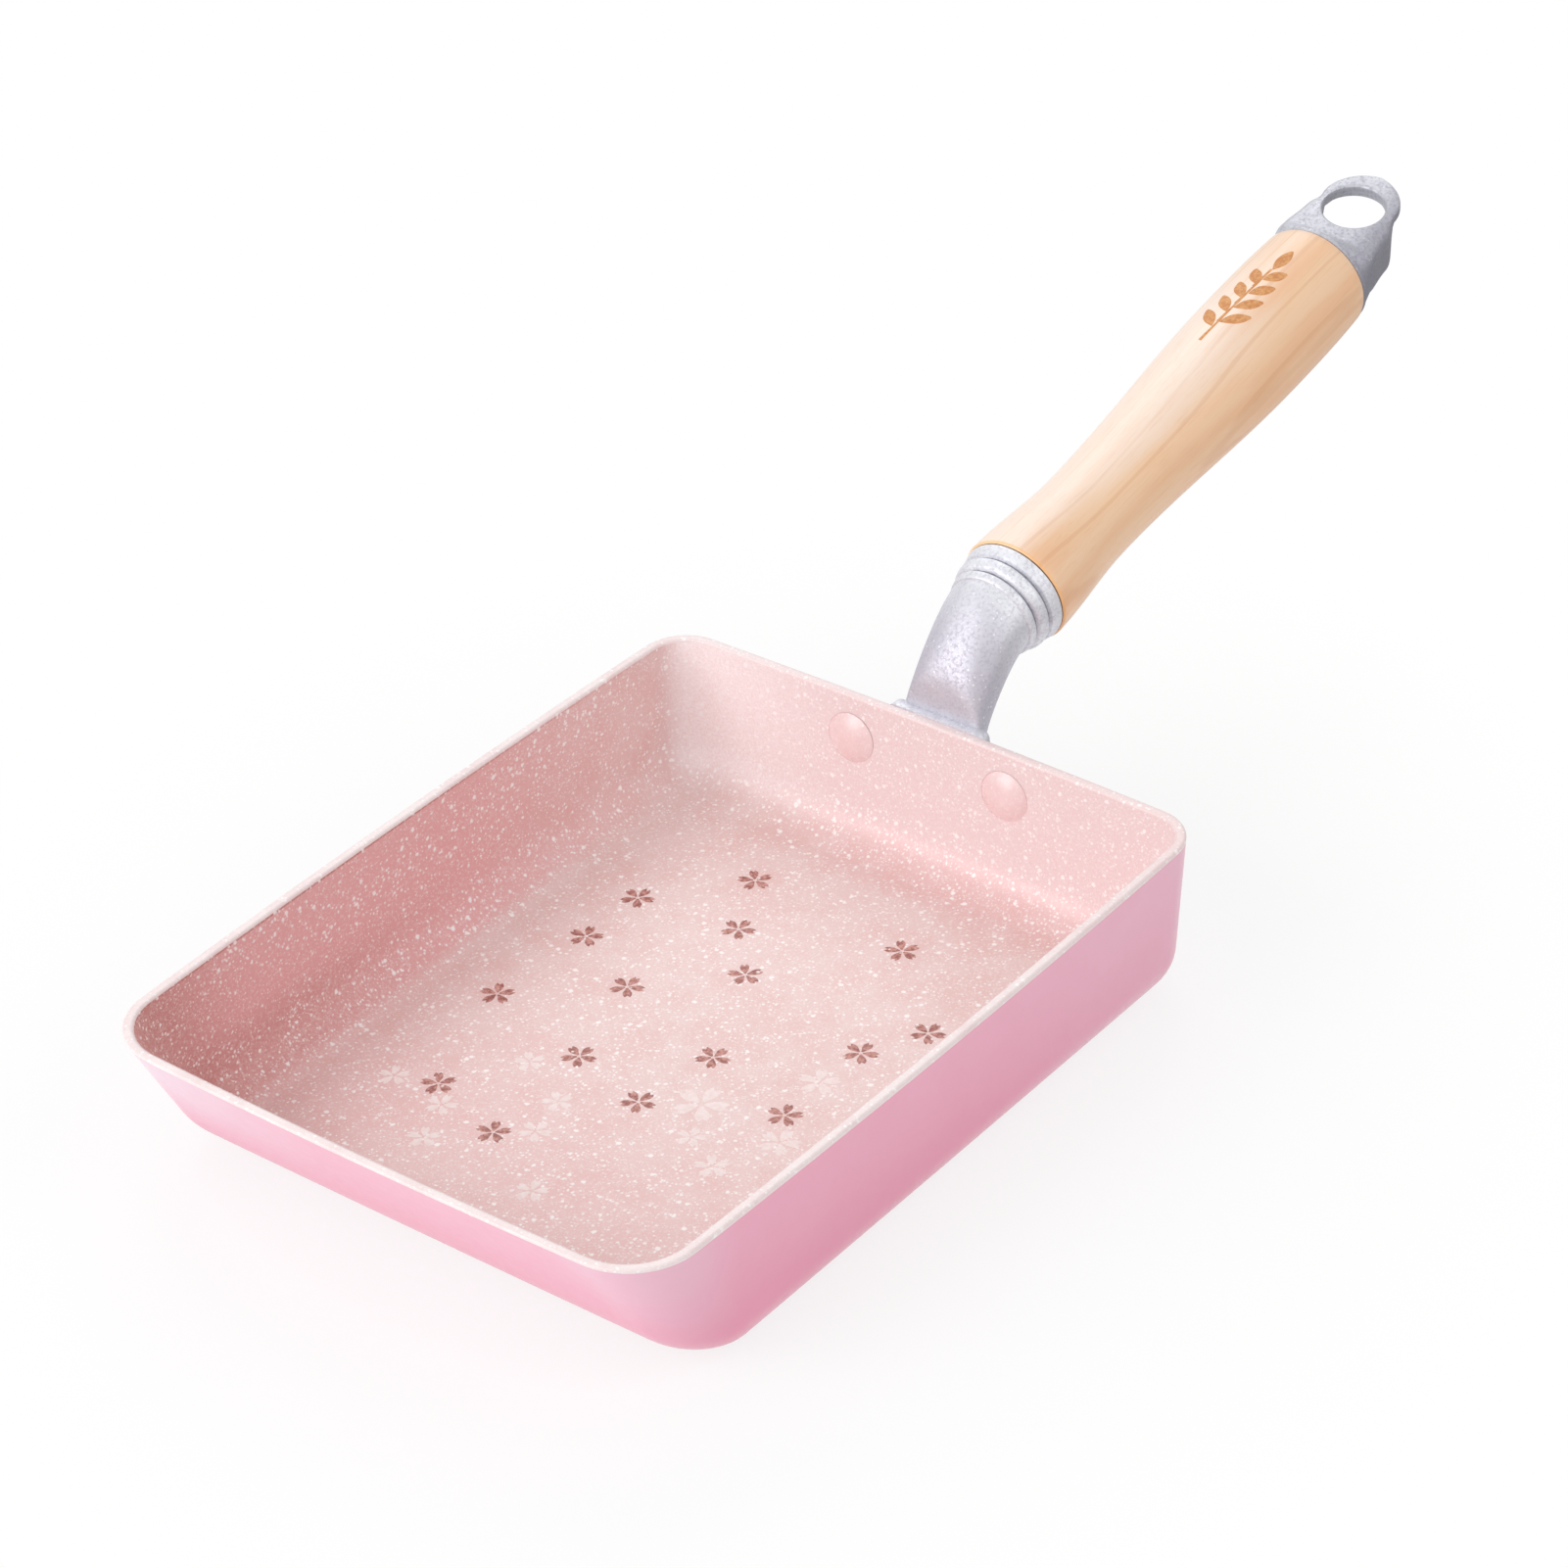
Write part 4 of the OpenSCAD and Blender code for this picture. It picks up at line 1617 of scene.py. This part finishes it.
@dataclass
class HangingCap:
    """Cast end cap with its hanging hole."""

    line: HandleLine
    start: float = 116.6
    turn_deg: float = 6.0
    flange: Pair = (12.7, 1.3)
    hole: Pair = (7.0, 16.0)
    hole_bevel: float = 0.5
    hole_wall: float = 2.0
    hole_cone: Pair = (1.6, 2.4)
    start_radius: float = 12.3
    half_width: float = 10.7
    width_taper: float = 14.0
    top: float = 9.0
    top_taper: float = 5.5
    depth: float = 4.6
    depth_taper: float = 5.0
    squareness: Pair = (3.0, 7.0)
    body_end: float = 15.5
    underside_rise: float = 3.0
    tip_radius: float = 8.9
    tip_centre: float = 18.5
    tip_blend: float = 5.5
    tip_least: float = 0.3
    first_section: float = 0.8
    body_steps: int = 26
    tip_steps: int = 24
    plate: float = 3.4
    ceiling: float = 0.9
    hollow_start: float = 8.6
    hollow_half_width: float = 8.4
    hollow_corner: float = 3.0
    spigot: Pair = (6.5, 6.0)
    spigot_edge: float = 0.3
    past: float = 10.0

    def taper(self, along: float, least: float, length: float) -> float:
        """Shrinks a size from the flange's radius.

        Args:
            along: Distance from the wood.
            least: The size at the end.
            length: Length over which it shrinks.

        Returns:
            The size there.
        """
        return least + (self.start_radius - least) * ease(1 - along / length)

    def wide(self, along: float) -> float:
        """Finds the half-width of the cap.

        Args:
            along: Distance from the wood.

        Returns:
            The half-width there.
        """
        past = along - self.tip_centre
        if past >= 0:
            return math.sqrt(max(self.tip_least**2, self.tip_radius**2 - past**2))
        drawn_in = (self.half_width - self.tip_radius) * ease(1 + past / self.tip_blend)
        return self.taper(along, self.half_width, self.width_taper) - drawn_in

    def low(self, along: float) -> float:
        """Finds the height of the cap's underside.

        Args:
            along: Distance from the wood.

        Returns:
            The height there.
        """
        if along < self.body_end:
            return -self.taper(along, self.depth, self.depth_taper)
        plate_low = self.top - self.plate
        climb = 1 - ease((along - self.body_end) / self.underside_rise)
        return plate_low - (self.depth + plate_low) * climb

    def section(self, along: float, count: int = 88) -> list[Point]:
        """Draws a section of the cap.

        Args:
            along: Distance from the wood.
            count: Points round it.

        Returns:
            Points with X up, in the cap's own frame.
        """
        high, low = self.taper(along, self.top, self.top_taper), self.low(along)
        middle, half = (high + low) / 2, (high - low) / 2
        square, length = self.squareness
        power = 2 / (2 + square * (1 - ease(1 - along / length)))
        points = []
        for index in range(count):
            angle = math.tau * index / count
            up, side = (signed_power(part, power) for part in (math.cos(angle), math.sin(angle)))
            points.append((middle + half * up, self.wide(along) * side, along))
        return points

    def body(self) -> Mesh:
        """Makes the cap's tapered body without its hole.

        Returns:
            The closed solid in the cap's own frame.
        """
        first, end = self.first_section, self.body_end
        run = self.tip_centre + self.tip_radius - end
        steps = self.body_steps
        stations = [first + (end - first) * step / steps for step in range(steps + 1)]
        for step in range(1, self.tip_steps + 1):
            stations.append(end + run * math.sin(math.radians(90 * step / self.tip_steps)))
        bm = bmesh.new()
        skin_through(bm, [self.section(along) for along in stations])
        return bm

    def disc(self) -> Mesh:
        """Turns the flange and its spigot.

        Returns:
            The closed solid in the cap's own frame.
        """
        (radius, thick), (inner, length), edge = self.flange, self.spigot, self.spigot_edge
        profile = [(0.0, -length), (inner - edge, -length), (inner, edge - length), (inner, 0.0)]
        profile += [(radius - 0.45, 0.0), (radius - 0.13, 0.13), (radius, 0.4)]
        profile += [(radius, thick - 0.3), (radius - 0.1, thick - 0.08), (radius - 0.3, thick)]
        return turned([*profile, (0.0, thick)], 96)

    def drill(self) -> Mesh:
        """Turns what the hanging hole takes away: bevel, wall and the cone below.

        Returns:
            The closed solid in the cap's own frame.
        """
        (hole, middle), bevel, top = self.hole, self.hole_bevel, self.top
        low = top - bevel - self.hole_wall
        cone, fall = hole + self.hole_cone[0], self.hole_cone[1]
        profile = [(0.0, -30.0), (cone, -30.0), (cone, low - fall), (hole, low)]
        profile += [(hole, top - bevel), (hole + 0.3 * bevel, top - 0.5 * bevel)]
        profile += [(hole + bevel, top - 0.1 * bevel), (hole + 1.6 * bevel, top + 0.3 * bevel)]
        profile += [(hole + 1.6 * bevel, top + self.past), (0.0, top + self.past)]
        aim = Matrix.Translation((0, 0, middle)) @ Matrix.Rotation(math.radians(90), 4, "Y")
        return moved(turned(profile, 72), aim)

    def hollow(self) -> Mesh:
        """Makes what the hollow under the plate takes away.

        Returns:
            The closed solid in the cap's own frame.
        """
        near, far, half = self.hollow_start, 40.0, self.hollow_half_width
        corners = [(near, -half), (far, -half), (far, half), (near, half)]
        outline = rounded_outline(corners, [self.hollow_corner] * 4)
        heights = (-20.0, self.top - self.plate - self.ceiling)
        bm = bmesh.new()
        skin_through(bm, [[(x, y, along) for along, y in outline] for x in heights])
        return bm

    def build(self, finish: Material) -> Piece:
        """Makes the cap.

        Args:
            finish: Its material.

        Returns:
            The piece.
        """
        cuts = [(Cut.ADD, self.disc()), (Cut.REMOVE, self.drill()), (Cut.REMOVE, self.hollow())]
        spot = self.line.place(self.start, 180.0 + self.turn_deg)
        bm = moved(combined(self.body(), cuts), spot)
        piece = finished("hanging_cap_cast", bm, [finish], 38.0)
        soften(piece, 0.4)
        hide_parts("hanging_cap")
        return piece


# ---------------------------------------------------------------- studio


@dataclass
class Softbox:
    """One large square lamp."""

    name: str
    aim_from: Point
    distance: float
    side: float
    watts: float

    def build(self, target: Vector) -> None:
        """Hangs the lamp and turns it to a target.

        Args:
            target: Point that it faces, in metres.
        """
        lamp = bpy.data.lights.new(self.name, "AREA")
        lamp.shape = "SQUARE"
        lamp.size = self.side
        lamp.energy = self.watts
        holder = bpy.data.objects.new(self.name, lamp)
        away = Vector(self.aim_from).normalized()
        holder.location = target + away * self.distance
        holder.rotation_mode = "QUATERNION"
        holder.rotation_quaternion = away.to_track_quat("Z", "Y")
        bpy.context.scene.collection.objects.link(holder)


@dataclass
class Studio:
    """Pale floor, white backdrop, soft lamps and the camera."""

    target: Point = (75.5, 27.96, 18.0)
    azimuth_deg: float = -51.78
    elevation_deg: float = 33.30
    roll_deg: float = -1.81
    distance: float = 1092.65
    focal_px: float = 5360.53
    sensor: float = 36.0
    clip: Pair = (0.05, 20.0)
    ambient: float = 0.62
    floor_size: float = 6.0
    floor_drop: float = 0.3
    lamps: tuple[Softbox, ...] = (
        Softbox("key_lamp", (-0.9, 0.3, 0.5), 1.3, 0.8, 8.0),
        Softbox("rear_lamp", (0.6, 0.5, 0.75), 1.4, 0.8, 3.0),
        Softbox("fill_lamp", (0.15, -1.0, 0.8), 1.4, 0.9, 2.4),
    )
    shadow_hidden: Pair = (0.8, 1.0)
    shadow_reach: Pair = (0.105, 0.19)
    shadow_length: float = 0.78
    mirror_reach: Pair = (0.12, 0.42)
    mirror_light: Pair = (1.0, 0.3)

    def floor(self) -> None:
        """Lays the floor, white to the camera except for the object's shadow."""
        bm = bmesh.new()
        bmesh.ops.create_grid(bm, x_segments=1, y_segments=1, size=self.floor_size)
        moved(bm, Matrix.Translation((0, 0, -self.floor_drop * MM)))
        mesh = bpy.data.meshes.new("studio_floor")
        bm.to_mesh(mesh)
        bm.free()
        mesh.materials.append(self.floor_finish())
        ground = bpy.data.objects.new("studio_floor", mesh)
        bpy.context.scene.collection.objects.link(ground)

    def floor_finish(self) -> Material:
        """Makes the floor's material.

        Returns:
            A pale matt finish that looks white to the camera, with a soft shadow, and
            dims towards the far right where glossy pieces mirror it.
        """
        sheet = Sheet("studio_floor")
        sheet.dress(Base_Color=linear((250, 250, 250)), Roughness=0.9, Specular_IOR_Level=0.1)
        rays = sheet.add("ShaderNodeLightPath").outputs
        split = sheet.add("ShaderNodeSeparateXYZ")
        sheet.feed(split.inputs[0], sheet.place)
        x, y = split.outputs["X"], split.outputs["Y"]
        along = sheet.product(x, self.shadow_length)
        around = sheet.total(sheet.product(y, y), sheet.product(along, along))
        away = sheet.joined(Arithmetic.ROOT, around, 0.0)
        hidden = sheet.span(away, *self.shadow_reach, *self.shadow_hidden)
        white, mirrored = (sheet.add("ShaderNodeEmission") for _ in range(2))
        far = sheet.joined(Arithmetic.DIFFERENCE, x, y)
        sheet.fill(mirrored, Strength=sheet.span(far, *self.mirror_reach, *self.mirror_light))
        seen = sheet.blend(sheet.product(rays["Is Camera Ray"], hidden), sheet.shader, white)
        mirror = sheet.largest(rays["Is Glossy Ray"], rays["Is Transmission Ray"])
        both = sheet.blend(mirror, seen, mirrored)
        sheet.fill(sheet.tree.nodes["Material Output"], Surface=both.outputs[0])
        return sheet.material

    def backdrop(self) -> None:
        """Makes the world: a soft level of light, and white where it is seen."""
        world = bpy.data.worlds.new("studio_world")
        world.use_nodes = True
        bpy.context.scene.world = world
        nodes = Nodes(world.node_tree)
        light, white = nodes.tree.nodes["Background"], nodes.add("ShaderNodeBackground")
        for node, strength in ((light, self.ambient), (white, 1.0)):
            nodes.fill(node, Color=(1.0, 1.0, 1.0, 1.0), Strength=strength)
        rays = nodes.add("ShaderNodeLightPath").outputs
        mirror = nodes.largest(rays["Is Glossy Ray"], rays["Is Transmission Ray"])
        seen = nodes.blend(nodes.largest(rays["Is Camera Ray"], mirror), light, white)
        nodes.fill(nodes.tree.nodes["World Output"], Surface=seen.outputs[0])

    def camera(self) -> None:
        """Sets the camera at the object's three-quarter view."""
        azimuth, elevation = math.radians(self.azimuth_deg), math.radians(self.elevation_deg)
        level = math.cos(elevation)
        back = Vector(
            (math.sin(azimuth) * level, -math.cos(azimuth) * level, math.sin(elevation))
        )
        side = Vector((0, 0, 1)).cross(back).normalized()
        up = back.cross(side)
        roll = math.radians(self.roll_deg)
        right = side * math.cos(roll) + up * math.sin(roll)
        above = up * math.cos(roll) - side * math.sin(roll)
        spot = (Vector(self.target) + back * self.distance) * MM
        lens = bpy.data.cameras.new("camera")
        lens.sensor_width = self.sensor
        lens.lens = self.focal_px / IMAGE_SIDE_PX * self.sensor
        lens.clip_start, lens.clip_end = self.clip
        camera = bpy.data.objects.new("camera", lens)
        axes = Matrix((right, above, back)).transposed().to_4x4()
        camera.matrix_world = Matrix.Translation(spot) @ axes
        bpy.context.scene.collection.objects.link(camera)
        bpy.context.scene.camera = camera

    def build(self) -> None:
        """Sets up the whole studio."""
        self.camera()
        self.floor()
        self.backdrop()
        for lamp in self.lamps:
            lamp.build(Vector(self.target) * MM)
        bpy.context.scene.view_settings.view_transform = "Standard"


# ---------------------------------------------------------------- this pan


@dataclass
class Finishes:
    """Every finish of this pan."""

    pan: PanBody
    line: HandleLine

    def coats(self) -> tuple[Material, Material, Material, Material]:
        """Makes what covers the vessel and the rivets.

        Returns:
            Outer paint, rim coat, inner coat and the coat of the rivet heads.
        """
        # Painted shade on the left wall and the front of the floor, painted light on the rear wall,
        # and painted shade in the bend at its foot.
        shaded = (233, 171, 172)
        inner_tones = left_tones(shaded, (188, 116, 108))
        inner_tones += rear_tones((239, 218, 219), (254, 243, 244), shaded)
        # The rim's rear takes tones like the rear wall's painted light.
        rim_tones = rear_tones((240, 217, 216), (243, 226, 226), (240, 217, 216))
        # pale_pink is the painted sheen at the front-left, the painted light at the front-right
        # corner, and the paler rear of the outside.
        pink, low_pink, pale_pink = (240, 168, 192), (233, 140, 170), (236, 212, 225)
        return (
            SatinPaint("outer_paint", pink, low_pink, pale_pink, self.pan.height).make(),
            SpeckledCoat("rim_coat", (243, 229, 228), (238, 218, 217), rim_tones, 0.5).make(),
            SpeckledCoat("speckled_coat", (233, 208, 205), (230, 196, 192), inner_tones).make(),
            SpeckledCoat(
                "rivet_coat", (245, 220, 220), (241, 211, 210), (), 0.05, (0.21, 0.33)
            ).make(),
        )

    def metals(self) -> tuple[Material, Material, Material]:
        """Makes the castings' finishes.

        Returns:
            The bracket's, with painted shade on its neck near the pan; its grooves', darker as
            painted shade; and the cap's, a darker copy with painted shade on its right side.
        """
        # Painted shade: the neck darker near the pan, the cap's right side darker, and the grooves
        # and the whole cap darker than the bracket.
        painted_neck_shade = Tone((182, 178, 190), 0.7, ((LENGTHWISE, 113.0, 97.0), PAST_REAR_WALL))
        painted_cap_shade = Tone((148, 146, 158), 0.7, ((ACROSS, 0.0, -14.0), PAST_REAR_WALL))
        groove_shade = (158, 156, 166), (112, 108, 120), (172, 170, 178)
        cap = (202, 203, 210), (162, 160, 170), (222, 222, 228)
        return (
            SandCasting("silver_casting", tones=(painted_neck_shade,)).make(),
            SandCasting("casting_groove_shade", *groove_shade, (0.54, 0.72)).make(),
            SandCasting("shaded_cap_casting", *cap, tones=(painted_cap_shade,)).make(),
        )

    def woods(self) -> list[Material]:
        """Makes the wood's finishes.

        Returns:
            The turned side's, its chamfer's and its near end's, whose dark colour is painted shade
            in the gap at the socket.
        """
        tilt = self.line.tilt_deg
        edge = (250, 202, 148), (245, 187, 130), (234, 164, 104), (252, 210, 160)
        # Painted shade: the near end of the wood, dark where it meets the socket.
        end = (120, 84, 60), (100, 70, 52), (90, 62, 46), (124, 90, 66)
        named = (("grip_wood", ()), ("grip_wood_edge", edge), ("grip_wood_end_shade", end))
        return [OiledWood(name, tilt, *colours).make() for name, colours in named]


def main(frame: dict) -> None:
    """Builds every piece round the frame.
    """
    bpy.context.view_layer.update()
    Studio().build()
    pan = PanBody()
    line = HandleLine()
    rivets = Rivets(pan)
    grip = Grip(line)
    printing = FloorPrint(pan.floor)
    finishes = Finishes(pan, line)
    paint, rim, coat, head_coat = finishes.coats()
    casting, groove_shade, shaded_cap_casting = finishes.metals()
    ground = BareMetal("ground_aluminium", (205, 205, 208), (165, 165, 170)).make()
    steel = BareMetal("rod_steel", (190, 192, 196), (140, 142, 148)).make()
    bloom = PrintedFilm("blossom_print", (150, 86, 78), (208, 154, 144), fleck_radius=0.4)
    pale = PrintedFilm("pale_blossom_print", (247, 233, 231), (242, 222, 219))
    burned = PrintedFilm(
        "burned_mark", (206, 136, 78), (226, 168, 112), fleck=None, roughness=(0.6, 0.7)
    )
    pieces = [
        pan.build([ground, paint, rim, coat]),
        printing.build("floor_blossoms_dark", printing.dark_scatter, bloom.make()),
        printing.build("floor_blossoms_pale", printing.pale_scatter, pale.make()),
        rivets.build("rivet_left", 1, [head_coat, ground]),
        rivets.build("rivet_right", -1, [head_coat, ground]),
        Bracket(pan, rivets, line).build([casting, groove_shade]),
        grip.build(finishes.woods()),
        grip.sprig(burned.make()),
        HangingCap(line, grip.length).build(shaded_cap_casting),
    ]
    rod = frame["nodes"]["tie_rod"]
    rod.data.materials.clear()
    rod.data.materials.append(steel)
    pieces.append(rod)
    for piece in pieces:
        report(piece)


if __name__ == "__main__":
    logging.basicConfig(level=logging.INFO, format="%(message)s")
    main(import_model())
